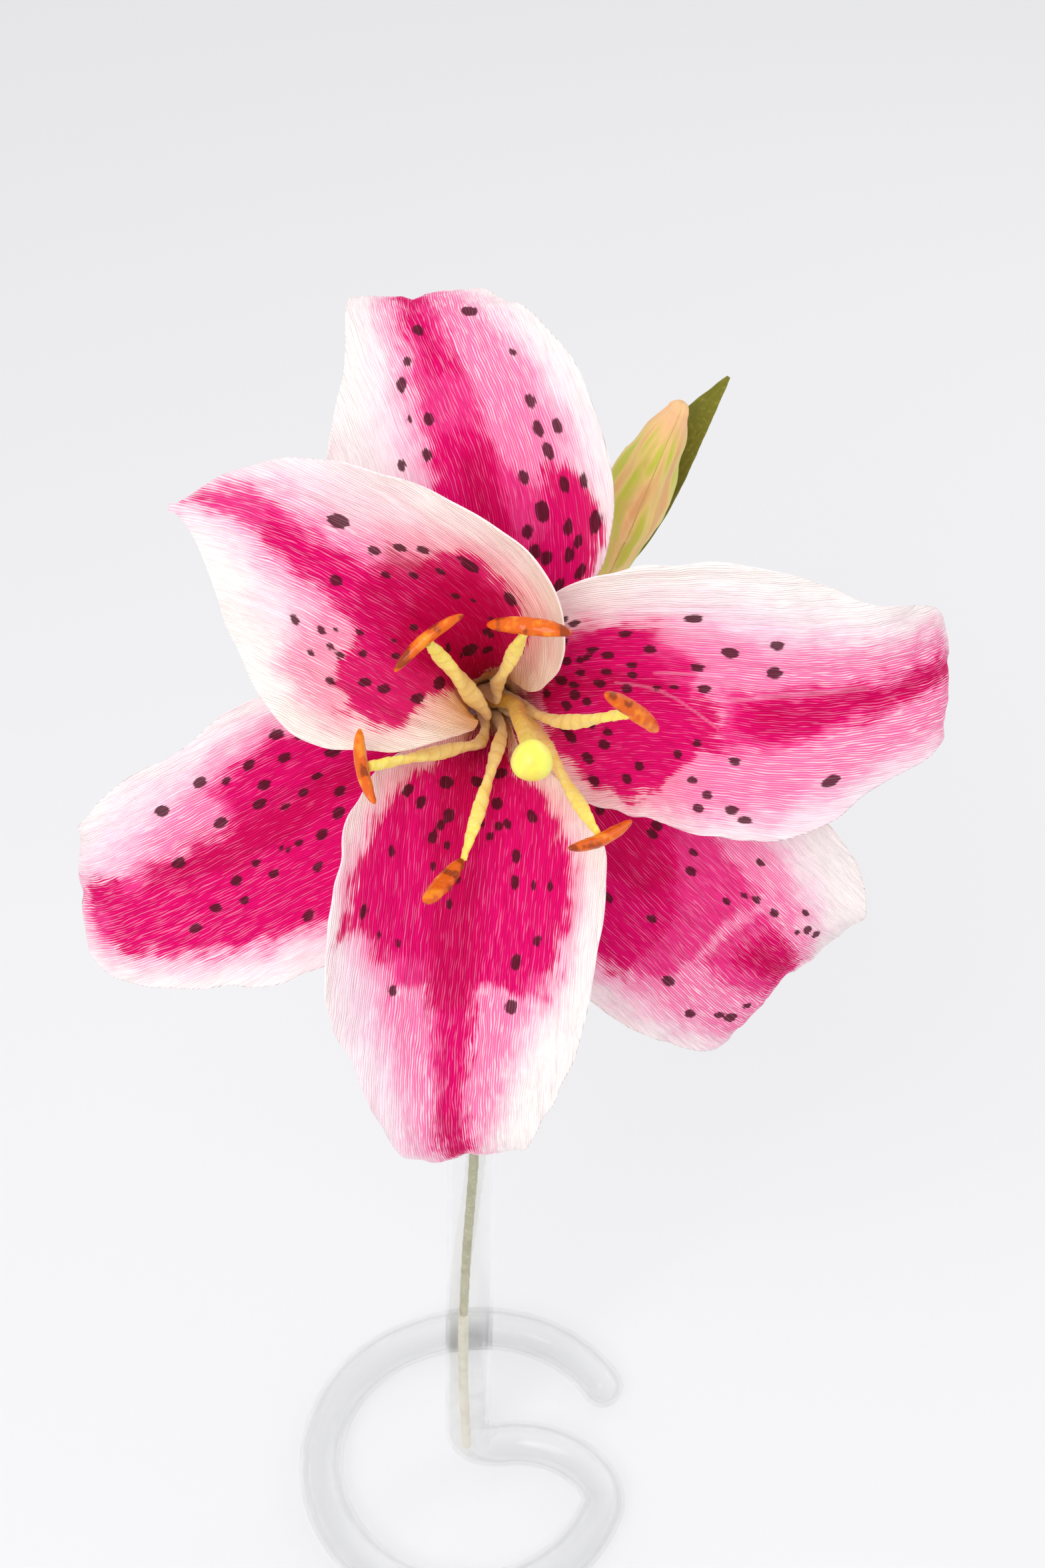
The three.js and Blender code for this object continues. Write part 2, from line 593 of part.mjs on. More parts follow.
// The bud has three soft lobes round it, strongest in its middle.
function bud() {
  const line = curveThrough(BUD_POINTS);
  const lobes = (angle, share) =>
    1 + BUD_LOBE_DEPTH * Math.sin(Math.PI * share) * Math.cos(BUD_LOBES * angle);
  const stations = along(line, BUD_STEPS, (share) => through(BUD_RADII, share));
  const end = stations[stations.length - 1];
  const way = line.getTangentAt(1);
  const cap = BUD_CAP_RINGS.map((degrees) => ({
    point: end.point.clone().addScaledVector(way, end.radius * Math.sin(degToRad(degrees))),
    radius: end.radius * Math.cos(degToRad(degrees)),
  }));
  return bar([...stations, ...cap], BUD_SIDES, lobes);
}

// The leaf is folded a little along its middle.
function leaf() {
  const line = curveThrough(LEAF_POINTS);
  const rows = [];
  for (let i = 0; i <= LEAF_ROWS; i++) {
    const t = i / LEAF_ROWS;
    const middle = line.getPointAt(t);
    const ahead = line.getTangentAt(t);
    const face = LEAF_FACING.clone().addScaledVector(ahead, -LEAF_FACING.dot(ahead)).normalize();
    const aside = face.clone().cross(ahead);
    const width = through(LEAF_HALF_WIDTHS, t);
    const row = [];
    for (let j = -LEAF_HALF_COLUMNS; j <= LEAF_HALF_COLUMNS; j++) {
      const out = (j / LEAF_HALF_COLUMNS) * width;
      const up = Math.abs(out) * Math.sin(degToRad(LEAF_CREASE));
      row.push(middle.clone().addScaledVector(aside, out).addScaledVector(face, up));
    }
    rows.push(row);
  }
  return sheet(rows, LEAF_THICKNESS);
}

const object = new THREE.Group();
const flower = new THREE.Group();

function add(group, name, geometry, material) {
  const mesh = new THREE.Mesh(geometry, material);
  mesh.name = name;
  group.add(mesh);
}

// The flower's frame: x to its right, z along its axis.
const rise = degToRad(AXIS_RISE);
const turn = degToRad(AXIS_TURN);
const flowerAxis = new THREE.Vector3(
  Math.sin(turn) * Math.cos(rise), -Math.cos(turn) * Math.cos(rise), Math.sin(rise),
);
const flowerRight = new THREE.Vector3(Math.cos(turn), Math.sin(turn), 0);
const flowerUp = flowerAxis.clone().cross(flowerRight);
flower.setRotationFromMatrix(new THREE.Matrix4().makeBasis(flowerRight, flowerUp, flowerAxis));
flower.position.copy(THROAT);
object.add(flower);

// The stem ends just below the neck, in line with the flower's axis.
const neckFoot = THROAT.clone().addScaledVector(flowerAxis, -NECK_DEPTH - GAP);
const straightFoot = neckFoot.clone().addScaledVector(flowerAxis, -STEM_STRAIGHT);
const stemLine = curveThrough([...STEM_POINTS, straightFoot, neckFoot]);

add(object, "glass_vase", vase(), GLASS);
add(object, "stem_wire", rod(curveThrough(WIRE_POINTS), WIRE_RADIUS, STEM_SIDES, WIRE_STEPS), WIRE_PAPER);
add(object, "stem", rod(stemLine, STEM_RADIUS, STEM_SIDES, STEM_STEPS), STEM_TAPE);
add(flower, "neck", neck(), NECK_TAPE);
for (const petal of PETALS) {
  add(flower, petal.name, sheet(petalRows(petal), PETAL_THICKNESS), PETAL_PAPER);
}
for (const stamen of STAMENS) {
  add(flower, "filament_" + stamen.name, filament(stamen), FILAMENT_TAPE);
  add(flower, "anther_" + stamen.name, anther(stamen), ANTHER_VARNISH);
}
add(flower, "pistil", pistil(), STIGMA_PAINT);
const budWay = curveThrough(BUD_POINTS).getTangentAt(0);
const stalkTop = new THREE.Vector3(...BUD_POINTS[0]).addScaledVector(budWay, -2 * GAP);
const stalkLine = curveThrough([...STALK_POINTS, stalkTop]);
add(object, "bud_stalk", rod(stalkLine, STALK_RADIUS, STALK_SIDES, STALK_STEPS), STEM_TAPE);
add(object, "bud", bud(), BUD_PAPER);
add(object, "leaf", leaf(), LEAF_PAPER);

// The origin goes to the middle of the object's box, on the table.
const box = new THREE.Box3().setFromObject(object, true);
const middle = box.getCenter(new THREE.Vector3());
object.position.set(-middle.x, -middle.y, 0);

const part = new THREE.Group();
part.add(object);

export default part;
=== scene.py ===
"""A crepe-paper stargazer lily in a bent glass tube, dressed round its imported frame.

Lengths are millimetres and angles are degrees until a mesh is made, which is in metres.
"""

import logging
import math
from dataclasses import dataclass, field
from enum import Enum
from functools import partial
from typing import Any, Callable

import bpy
import numpy as np
from mathutils import Matrix, Vector


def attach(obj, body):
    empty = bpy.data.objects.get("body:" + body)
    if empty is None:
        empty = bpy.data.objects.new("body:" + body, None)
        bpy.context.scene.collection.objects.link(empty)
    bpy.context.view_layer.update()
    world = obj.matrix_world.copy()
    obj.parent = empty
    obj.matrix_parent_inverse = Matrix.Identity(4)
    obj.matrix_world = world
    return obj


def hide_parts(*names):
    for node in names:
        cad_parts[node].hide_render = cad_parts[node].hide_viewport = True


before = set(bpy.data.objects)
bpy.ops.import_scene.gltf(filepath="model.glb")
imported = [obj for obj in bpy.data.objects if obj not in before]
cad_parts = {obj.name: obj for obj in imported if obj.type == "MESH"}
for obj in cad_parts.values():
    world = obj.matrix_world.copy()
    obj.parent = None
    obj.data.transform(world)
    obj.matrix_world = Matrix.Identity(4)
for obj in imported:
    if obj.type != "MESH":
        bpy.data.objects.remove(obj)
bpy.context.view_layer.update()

LOG = logging.getLogger("lily")
MM = 0.001

# Where the flower sits, measured from the axis of the upright glass tube.
THROAT = np.array([2.7, -27.0, 371.4])
AXIS_RISE = 33.0
AXIS_TURN = 1.5

MATH = "ShaderNodeMath"
MIX = "ShaderNodeMix"
NOISE = "ShaderNodeTexNoise"
RANGE = "ShaderNodeMapRange"
MAPPING = "ShaderNodeMapping"
ATTRIBUTE = "ShaderNodeAttribute"
COORDINATES = "ShaderNodeTexCoord"
SMOOTH = {"interpolation_type": "SMOOTHSTEP"}

# How a finish adds a node to its own tree.
Add = Callable[..., Any]


def linear(colour: str) -> tuple[float, float, float, float]:
    """Turns an sRGB hex colour into the linear one that a socket takes.

    Args:
        colour: Six hex digits after a hash.

    Returns:
        Red, green, blue and an alpha of 1.
    """
    channels = [int(colour[i : i + 2], 16) / 255 for i in (1, 3, 5)]
    red, green, blue = (c / 12.92 if c <= 0.04045 else ((c + 0.055) / 1.055) ** 2.4 for c in channels)
    return red, green, blue, 1.0


def add_node(tree: bpy.types.NodeTree, kind: str, *inputs: Any, out: int | str = 0, **settings: Any) -> Any:
    """Adds a node with its settings and links.

    Args:
        tree: The tree that gets the node.
        kind: Blender's name for the type of node.
        *inputs: Values, or output sockets to link from, for its sockets in order; a dict gives them
            by name or number, and None leaves one as it is.
        out: Which of its output sockets to return.
        **settings: Properties of the node.

    Returns:
        One of its output sockets, or the node itself if it has none.
    """
    node = tree.nodes.new(kind)
    for name, value in settings.items():
        setattr(node, name, value)
    given = inputs[0] if inputs and isinstance(inputs[0], dict) else dict(enumerate(inputs))
    for socket, value in given.items():
        if isinstance(value, bpy.types.NodeSocket):
            tree.links.new(value, node.inputs[socket])
        elif value is not None:
            node.inputs[socket].default_value = value
    return node.outputs[out] if len(node.outputs) else node


def through(stations: tuple[float, ...] | list[float], t: np.ndarray | float) -> np.ndarray:
    """Reads a smooth curve through numbers that stand at equal steps.

    Args:
        stations: The numbers.
        t: Where to read, from 0 at the first to 1 at the last.

    Returns:
        The curve's value at each t.
    """
    values = np.array([2 * stations[0] - stations[1], *stations, 2 * stations[-1] - stations[-2]], float)
    place = np.clip(t, 0, 1) * (len(stations) - 1)
    i = np.minimum(np.floor(place).astype(int), len(stations) - 2)
    f = place - i
    a, b, c, d = values[i], values[i + 1], values[i + 2], values[i + 3]
    return b + 0.5 * f * (c - a + f * (2 * a - 5 * b + 4 * c - d + f * (3 * (b - c) + d - a)))


def ease(x: np.ndarray | float, low: float, high: float) -> np.ndarray:
    """Goes smoothly from 0 at low to 1 at high."""
    share = np.clip((x - low) / (high - low), 0, 1)
    return share * share * (3 - 2 * share)


@dataclass(frozen=True)
class Relief:
    """Smooth random heights over a plane, from -height to height.

    x_cell and y_cell are the sizes of its cells, and seed fixes it.
    """

    height: float
    x_cell: float
    y_cell: float
    seed: int = 0
    cells: int = 128

    def over(self, x: np.ndarray | float, y: np.ndarray | float, seed: int = 0) -> np.ndarray:
        """Reads the heights.

        Args:
            x: First coordinates, in the unit of x_cell.
            y: Second coordinates, in the unit of y_cell.
            seed: Added to the relief's own.

        Returns:
            A height for each pair.
        """
        lattice = np.random.default_rng(self.seed + seed).uniform(-1, 1, (self.cells, self.cells))
        x, y = np.broadcast_arrays(x / self.x_cell, y / self.y_cell)
        i, j = np.floor(x).astype(int), np.floor(y).astype(int)
        f, g = ease(x - i, 0, 1), ease(y - j, 0, 1)
        here, after = i % self.cells, (i + 1) % self.cells
        rows = (j % self.cells, (j + 1) % self.cells)
        low, high = (lattice[here, row] * (1 - f) + lattice[after, row] * f for row in rows)
        return self.height * (low * (1 - g) + high * g)


def unit(vectors: np.ndarray) -> np.ndarray:
    """Scales vectors to length 1."""
    return vectors / np.linalg.norm(vectors, axis=-1, keepdims=True)


def level(angle: float) -> np.ndarray:
    """Gives the level direction at an angle in radians from +X."""
    return np.array([math.cos(angle), math.sin(angle), 0])


def circle(sides: int) -> np.ndarray:
    """Lists the angles round a ring of points, in one row."""
    return (2 * np.pi * np.arange(sides) / sides)[None]


def smooth_path(points: Any, count: int, fineness: int = 60) -> np.ndarray:
    """Lays points at equal distances along a centripetal spline.

    Args:
        points: What the spline passes through.
        count: How many steps the result has.
        fineness: How many steps its length is measured by, between two of the points.

    Returns:
        count + 1 points.
    """
    p = np.array(points, float)
    p = np.vstack([2 * p[0] - p[1], p, 2 * p[-1] - p[-2]])
    fine = []
    for k in range(len(p) - 3):
        a, b, c, d = p[k : k + 4]
        before, here, after = (math.sqrt(np.linalg.norm(q - r)) for q, r in ((b, a), (c, b), (d, c)))
        start = ((b - a) / before - (c - a) / (before + here) + (c - b) / here) * here
        end = ((c - b) / here - (d - b) / (here + after) + (d - c) / after) * here
        f = np.linspace(0, 1, fineness, endpoint=False)[:, None]
        square, cube = 3 * (c - b) - 2 * start - end, 2 * (b - c) + start + end
        fine.append(b + start * f + square * f**2 + cube * f**3)
    line = np.vstack([*fine, p[-2:-1]])
    lengths = np.concatenate([[0], np.cumsum(np.linalg.norm(np.diff(line, axis=0), axis=1))])
    places = np.linspace(0, lengths[-1], count + 1)
    return np.stack([np.interp(places, lengths, line[:, k]) for k in range(3)], axis=1)


def grid_faces(rows: int, columns: int, ring: bool = False) -> list[list[int]]:
    """Lists the four-sided faces between the points of a grid.

    Args:
        rows: How many rows of points.
        columns: How many points in each row.
        ring: Whether each row closes on itself.

    Returns:
        Each face as four point numbers.
    """
    i, j = np.meshgrid(np.arange(rows - 1), np.arange(columns if ring else columns - 1), indexing="ij")
    after = (j + 1) % columns
    corners = [i * columns + j, (i + 1) * columns + j, (i + 1) * columns + after, i * columns + after]
    return np.stack([c.ravel() for c in corners], axis=1).tolist()


@dataclass
class Skin:
    """A closed mesh in the making."""

    points: np.ndarray
    faces: list[list[int]]
    values: dict[str, np.ndarray] = field(default_factory=dict)
    sheet: np.ndarray | None = None
    flat_from: int | None = None

    def to_object(self, name: str, material: bpy.types.Material, slot: str, *nodes: str) -> bpy.types.Object:
        """Makes the Blender piece, seats it on the frame and hides the CAD nodes that it stands for.

        Args:
            name: The piece's name.
            material: Its finish.
            slot: The record's slot for that finish. It is not used.
            *nodes: The CAD nodes that it replaces.

        Returns:
            The new object.
        """
        mesh = bpy.data.meshes.new(name)
        mesh.from_pydata((self.points * MM).tolist(), [], self.faces)
        smooth = np.ones(len(mesh.polygons), bool)
        if self.flat_from is not None:
            smooth[self.flat_from :] = False
        mesh.polygons.foreach_set("use_smooth", smooth)
        for key, value in self.values.items():
            layer = mesh.attributes.new(key, "FLOAT", "POINT")
            layer.data.foreach_set("value", value.astype(np.float32).ravel())
        if self.sheet is not None:
            corners = np.empty(len(mesh.loops), np.int32)
            mesh.loops.foreach_get("vertex_index", corners)
            layer = mesh.uv_layers.new(name="sheet")
            layer.data.foreach_set("uv", self.sheet[corners].astype(np.float32).ravel())
        mesh.materials.append(material)
        mesh.update()
        return seat(bpy.data.objects.new(name, mesh), slot, *nodes)


def seat(piece: bpy.types.Object, slot: str, *nodes: str) -> bpy.types.Object:
    """Links a piece, lets it ride on the frame and reports it.

    Args:
        piece: The finished piece.
        slot: The record's slot for its finish. It is not used.
        *nodes: The CAD nodes that it replaces.

    Returns:
        The same piece.
    """
    if piece.name not in bpy.context.scene.collection.objects:
        bpy.context.scene.collection.objects.link(piece)
    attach(piece, "root")
    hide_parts(*nodes)
    LOG.info("%s: %d faces", piece.name, len(piece.data.polygons))
    return piece


def sweep(line: np.ndarray, radii: np.ndarray, aside: Any) -> np.ndarray:
    """Places rings of points round a line, without twist.

    Args:
        line: The ring centres.
        radii: The radius of each ring at each of its points.
        aside: A direction across the line's start, where a ring's first point lies.

    Returns:
        The points, ring by ring, in a grid of len(line) by the ring's count.
    """
    side = np.array(aside, float)
    angles = circle(radii.shape[1]).T
    rings = []
    for point, tangent, radius in zip(line, unit(np.gradient(line, axis=0)), radii):
        side = unit(side - tangent * (side @ tangent))
        other = np.cross(tangent, side)
        rings.append(point + radius[:, None] * (np.cos(angles) * side + np.sin(angles) * other))
    return np.stack(rings)


def dome(line: np.ndarray, radius: float, low: float, high: float, count: int) -> tuple[np.ndarray, ...]:
    """Rounds the end of a line with part of a ball, centred on its last point.

    Args:
        line: The line.
        radius: The ball's radius.
        low: How far ahead of the ball's middle its first ring lies, as an angle.
        high: The same for its last ring.
        count: How many rings it has.

    Returns:
        The centres of the rings, and each one's share of the radius.
    """
    tilts = np.radians(np.linspace(low, high, count))[:, None]
    return line[-1] + radius * np.sin(tilts) * unit(line[-1] - line[-2]), np.cos(tilts)


def capped(rings: np.ndarray) -> tuple[np.ndarray, list[list[int]]]:
    """Closes a stack of rings with a point at each end.

    Args:
        rings: The grid of ring points, turning so that its faces point out.

    Returns:
        All points, and all faces.
    """
    rows, sides = rings.shape[:2]
    points = np.vstack([rings.reshape(-1, 3), rings[0].mean(0), rings[-1].mean(0)])
    faces = [face[::-1] for face in grid_faces(rows, sides, ring=True)]
    foot, head = rows * sides, rows * sides + 1
    last = (rows - 1) * sides
    for k in range(sides):
        after = (k + 1) % sides
        faces.append([foot, after, k])
        faces.append([head, last + k, last + after])
    return points, faces


class Seat:
    """Where the flower and the tube stand in the frame."""

    def __init__(self, vase: bpy.types.Object) -> None:
        """Finds the axis of the upright tube from its mouth, the vase's top millimetre."""
        points = np.array([v.co for v in vase.data.vertices]) / MM
        top = points[:, 2].max()
        mouth = points[points[:, 2] > top - 1]
        middle = (mouth.min(0) + mouth.max(0)) / 2
        self.axis = np.array([middle[0], middle[1], 0.0])
        self.mouth_height = float(top)
        rise, turn = math.radians(AXIS_RISE), math.radians(AXIS_TURN)
        right = level(turn)
        ahead = math.cos(rise) * level(turn - math.pi / 2) + np.array([0, 0, math.sin(rise)])
        self.basis = np.stack([right, np.cross(ahead, right), ahead])

    def from_tube(self, points: Any) -> np.ndarray:
        """Moves points measured from the tube's axis into the frame."""
        return np.asarray(points, float) + self.axis

    def from_flower(self, points: Any) -> np.ndarray:
        """Moves points measured in the flower's own axes into the frame."""
        return np.asarray(points, float) @ self.basis + THROAT + self.axis


@dataclass(frozen=True)
class Finish:
    """A finish whose colours and relief are worked out by nodes."""

    def material(self, name: str) -> bpy.types.Material:
        """Builds the material.

        Args:
            name: What the real finish is called.

        Returns:
            The new material.
        """
        material = bpy.data.materials.new(name)
        material.use_nodes = True
        tree = material.node_tree
        self.dress(tree.nodes["Principled BSDF"], partial(add_node, tree))
        return material

    def dress(self, shader: bpy.types.Node, add: Add) -> None:
        """Adds this finish's own nodes.

        Args:
            shader: The material's Principled shader.
            add: Adds a node to the tree.
        """
        raise NotImplementedError

    def coats(self, add: Add, base: Any, *layers: tuple) -> Any:
        """Lays colours over one another.

        Args:
            add: Adds a node to the tree.
            base: The lowest colour.
            *layers: For each coat, from the lowest up, its hex colour and the shares that are
                multiplied into how far it covers.

        Returns:
            The socket of the result.
        """
        for over, cover, *shares in layers:
            for share in shares:
                cover = add(MATH, cover, share, operation="MULTIPLY")
            base = add(MIX, {0: cover, 6: base, 7: linear(over)}, out=2, data_type="RGBA")
        return base

    def wear(self, shader: bpy.types.Node, colour: Any, height: Any, relief: tuple, **sockets: Any) -> None:
        """Puts colour, relief and constants on the shader.

        Args:
            shader: The Principled shader.
            colour: The colour's socket.
            height: The socket of the relief's heights.
            relief: How strongly the relief shows, and how deep it is in millimetres.
            **sockets: Constants by their socket's name, with _ for a space.
        """
        tree = shader.id_data
        bumps = {"Height": height, "Strength": relief[0], "Distance": relief[1] * MM}
        bump = add_node(tree, "ShaderNodeBump", bumps)
        tree.links.new(colour, shader.inputs["Base Color"])
        tree.links.new(bump, shader.inputs["Normal"])
        for name, value in sockets.items():
            shader.inputs[name.replace("_", " ")].default_value = value


@dataclass(frozen=True)
class InkedCrepe(Finish):
    """Florist's crepe paper, stretched and brushed with ink.

    The machine-made ridges run lengthwise and meander a little. The real ones are about 0.4 mm apart,
    and they are drawn a little coarser so that they show. Ink misses some crests, so short pale lines
    follow the grain, and a faint pale pink laid on the crests is painted highlight. Ink is thinner on
    the ridges, so they are lighter in the dark areas. It bleeds along them, so every edge of colour is
    ragged and every spot has a streaky rim.
    """

    bare: str = "#fdf5f2"
    blush: str = "#fbc3df"
    rose: str = "#fa4f9f"
    stripe: str = "#e81b7c"
    magenta: str = "#db0064"
    crimson: str = "#bd0042"
    # Painted highlight: the pale pink laid on the crests.
    crest_highlight: str = "#ff8cc2"
    dyed: str = "#ee2a84"
    spot: str = "#4c1b24"
    warm: str = "#ffe9c4"
    reverse: str = "#fcebf0"
    green: str = "#cdd69a"
    throat_tint_and_light: str = "#fdb95c"
    ridge: float = 0.48
    fray: float = 2.2
    seed: float = 0.0

    def grain(self, add: Add, sheet: Any) -> tuple[Any, dict[str, Any]]:
        """Draws the ridges, and the streaks that follow them.

        Args:
            add: Adds a node to the tree.
            sheet: The sheet's coordinates, in millimetres across and along the grain.

        Returns:
            The ridges' socket, and a socket for each kind of streak.
        """
        # The grain meanders by a few tenths of a millimetre.
        place = add(MAPPING, {"Vector": sheet, "Scale": (1 / 4, 1 / 7, 1)})
        drift = add(NOISE, {"Vector": place, "Scale": 1.0, "Detail": 2.0}, out="Color", noise_dimensions="2D")
        drift = add("ShaderNodeVectorMath", {0: drift, 1: (0.9, 0, 0)}, operation="MULTIPLY")
        grain = add("ShaderNodeVectorMath", {0: sheet, 1: drift}, operation="ADD")

        # A wave's period is a tenth of pi over its scale.
        place = add(MAPPING, {"Vector": grain, "Location": (self.seed, 0, 0), "Scale": (1, 1 / 16, 1)})
        settings = {"Vector": place, "Scale": math.pi / 10 / self.ridge, "Distortion": 3.2, "Detail": 1.0}
        ridges = add("ShaderNodeTexWave", settings, out="Fac")

        # Each kind has a width and a length in millimetres, and its detail.
        kinds = {
            "fine": (0.45, 5.5, 2.0),
            "lines": (0.24, 9.0, 1.0),
            "breaks": (0.5, 5.0, 1.0),
            "brush": (1.6, 7.0, 2.0),
            "blot": (4.5, 6.0, 2.0),
        }
        streaks = {}
        for number, (key, (width, length, detail)) in enumerate(kinds.items()):
            shift = (17.0 * number + self.seed, 11.0 * number, 0)
            place = add(MAPPING, {"Vector": grain, "Location": shift, "Scale": (1 / width, 1 / length, 1)})
            settings = {"Vector": place, "Scale": 1.0, "Detail": detail, "Roughness": 0.55}
            streaks[key] = add(NOISE, settings, noise_dimensions="2D")
        return ridges, streaks

    def dress(self, shader: bpy.types.Node, add: Add) -> None:
        """Brushes the ink over the grain, from the values on the sheet's points."""
        sheet = add("ShaderNodeUVMap", uv_map="sheet")
        names = ("wash", "rose", "stripe", "stain", "deep", "cracks", "spots", "warm", "front", "dry")
        value = {key: add(ATTRIBUTE, attribute_name=key, out="Fac") for key in names}
        ridges, streaks = self.grain(add, sheet)

        # The sum is 0 on average: each streak's mean is a half.
        ragged = add(MATH, ridges, -0.6 * self.fray, -2.9 * self.fray, operation="MULTIPLY_ADD")
        for key, amount in (("fine", 1.9), ("lines", 1.2), ("brush", 0.8), ("blot", 2.5)):
            ragged = add(MATH, streaks[key], amount * self.fray, ragged, operation="MULTIPLY_ADD")

        # Each ink fades over this range of millimetres about its own edge.
        edges = {
            "wash": (-7.5, 7.5),
            "rose": (-5.0, 4.0),
            "stripe": (-1.4, 1.6),
            "stain": (-0.7, 0.9),
            "deep": (-3.0, 3.0),
        }
        ink = {}
        for key, (low, high) in edges.items():
            brushed = add(MATH, value[key], ragged, operation="ADD")
            ink[key] = add(RANGE, brushed, low, high, **SMOOTH)
        frayed = add(MATH, streaks["fine"], 1.5, value["spots"], operation="MULTIPLY_ADD")
        dot = add(RANGE, frayed, 0.55, 1.0, **SMOOTH)

        # A drier brush leaves more of the crests bare.
        missed = add(MATH, value["dry"], -0.11, 1.01, operation="MULTIPLY_ADD")
        sharp = add(MATH, missed, 0.13, operation="ADD")
        high = add(MATH, ridges, 0.32, streaks["breaks"], operation="MULTIPLY_ADD")
        high = add(MATH, streaks["lines"], 0.35, high, operation="MULTIPLY_ADD")
        crests = add(RANGE, high, missed, sharp, **SMOOTH)
        pools = add(RANGE, streaks["fine"], 0.47, 0.33, **SMOOTH)
        bared = add(MATH, value["dry"], 0.85, 0.15, operation="MULTIPLY_ADD")
        cracked = add(RANGE, value["cracks"], -0.3, 0.1)
        throat = add(RANGE, value["warm"], 0.6, 1.0)
        colour = self.coats(
            add,
            linear(self.bare),
            (self.blush, ink["wash"], 0.8),
            (self.rose, ink["rose"], 0.9),
            (self.bare, ridges, 0.24, ink["rose"]),
            (self.bare, crests, 0.48, bared),
            # Cream, then orange, at the throat: partly the paper's colour and partly painted light in the
            # shaded hollow.
            (self.warm, value["warm"], 0.9),
            (self.throat_tint_and_light, throat, 0.7),
            (self.stripe, ink["stripe"], 0.85),
            (self.magenta, ink["stain"], 0.97),
            (self.bare, crests, 0.15, bared),
            # Crimson ink; on the lower-left outer petal its band beside the midline is painted shade of a
            # fold.
            (self.crimson, ink["deep"], 0.85),
            (self.dyed, ridges, 0.34, ink["stripe"]),
            # Painted highlight: pale pink on the crests where the stripe is inked.
            (self.crest_highlight, crests, 0.18, ink["stripe"]),
            (self.crimson, pools, 0.34, ink["stripe"]),
            (self.blush, cracked, 0.25),
            (self.spot, dot, 0.92),
            # Painted highlight: a faint pale pink on all the crests.
            (self.crest_highlight, crests, 0.06),
        )

        # Ink soaks through a little, and green tape shows along the wire towards the foot.
        soaked = add(RANGE, value["stain"], -7.0, 5.0, 0.0, 0.3, **SMOOTH)
        tinted = add(RANGE, value["rose"], -7.0, 5.0, 0.0, 0.24, **SMOOTH)
        soaked = add(MATH, soaked, tinted, operation="ADD")
        split = add("ShaderNodeSeparateXYZ", sheet)
        away = add(MATH, split, operation="ABSOLUTE")
        rib = add(RANGE, away, 1.5, 0.5, **SMOOTH)
        low = add(RANGE, split.node.outputs["Y"], 75.0, 5.0, 0.15, 0.9)
        foot = add(RANGE, split.node.outputs["Y"], 18.0, -6.0, 0.0, 0.6)
        behind = self.coats(
            add,
            linear(self.reverse),
            (self.blush, ink["wash"], 0.6),
            (self.rose, soaked),
            (self.bare, crests, 0.6),
            (self.bare, ridges, 0.12),
            (self.green, foot),
            (self.green, rib, low),
        )
        colour = add(MIX, {0: value["front"], 6: behind, 7: colour}, out=2, data_type="RGBA")
        height = add(MATH, ridges, 0.45, streaks["fine"], operation="MULTIPLY_ADD")
        self.wear(shader, colour, height, (0.8, 0.3), Roughness=0.7, IOR=1.45, Specular_IOR_Level=0.03)


@dataclass(frozen=True)
class PlainCrepe(Finish):
    """Crepe or wound tape of one dye lot, mottled where it was stretched.

    Stretching thins the dye on the ridges, so they are paler, and hands leave soft darker patches.
    grain and mottle are the sizes of the two, and depth is the ridges' height.
    """

    foot: str
    tip: str
    dark: str
    pale: str
    grain: float = 0.8
    mottle: float = 7.0
    depth: float = 0.25
    roughness: float = 0.7
    turn: float = 0.6

    def dress(self, shader: bpy.types.Node, add: Add) -> None:
        """Runs from the foot's colour to the tip's, with pale ridges and dark patches."""
        along = add(ATTRIBUTE, attribute_name="along", out="Fac")
        wrap = add(ATTRIBUTE, attribute_name="wrap", out="Fac")
        spot = add(COORDINATES, out="Object")
        fine = add(NOISE, {"Vector": spot, "Scale": 1 / (self.grain * MM), "Detail": 3.0, "Roughness": 0.6})
        broad = add(NOISE, {"Vector": spot, "Scale": 1 / (self.mottle * MM), "Detail": 2.0})
        colour = self.coats(
            add,
            linear(self.foot),
            (self.tip, along),
            (self.pale, add(RANGE, fine, 0.50, 0.72, 0.0, 0.55)),
            (self.dark, add(RANGE, broad, 0.48, 0.70, 0.0, 0.5)),
            (self.dark, add(RANGE, wrap, 0.86, 1.0, 0.0, self.turn)),
        )
        paper = {"Roughness": self.roughness, "IOR": 1.45, "Sheen_Weight": 0.1}
        self.wear(shader, colour, fine, (0.6, self.depth), **paper)


@dataclass(frozen=True)
class VarnishedPaint(Finish):
    """Thick acrylic under gloss varnish, dabbed over twisted paper.

    The varnish pools in the lumps and throws small sharp lights. The orange is darker where the dabs' relief
    is low, and the lighter orange on the raised dabs is painted highlight.
    """

    low: str = "#862c00"
    main: str = "#de6000"
    # The lightest orange stands for painted highlight.
    high: str = "#fb9a20"
    dab: float = 3.6

    def dress(self, shader: bpy.types.Node, add: Add) -> None:
        """Mixes darker orange where the dabs are low, and a painted highlight on the raised dabs, into the
        orange.
        """
        spot = add(COORDINATES, out="Object")
        dabs = add(NOISE, {"Vector": spot, "Scale": 1 / (self.dab * MM), "Detail": 2.0, "Roughness": 0.5})
        fine = add(NOISE, {"Vector": spot, "Scale": 1 / (0.5 * MM), "Detail": 2.0})
        # Darker where the dabs' relief is low; lighter orange on the raised dabs is painted highlight.
        dark = add(RANGE, dabs, 0.47, 0.38, 0.0, 0.85)
        raised_highlight = add(RANGE, dabs, 0.55, 0.68, 0.0, 0.8)
        colour = self.coats(add, linear(self.main), (self.low, dark), (self.high, raised_highlight))
        lumps = add(MATH, fine, 0.12, dabs, operation="MULTIPLY_ADD")
        varnish = {"Coat_Weight": 0.5, "Coat_Roughness": 0.05, "Coat_IOR": 1.5}
        self.wear(shader, colour, lumps, (0.4, 0.6), Roughness=0.4, Specular_IOR_Level=0.12, **varnish)


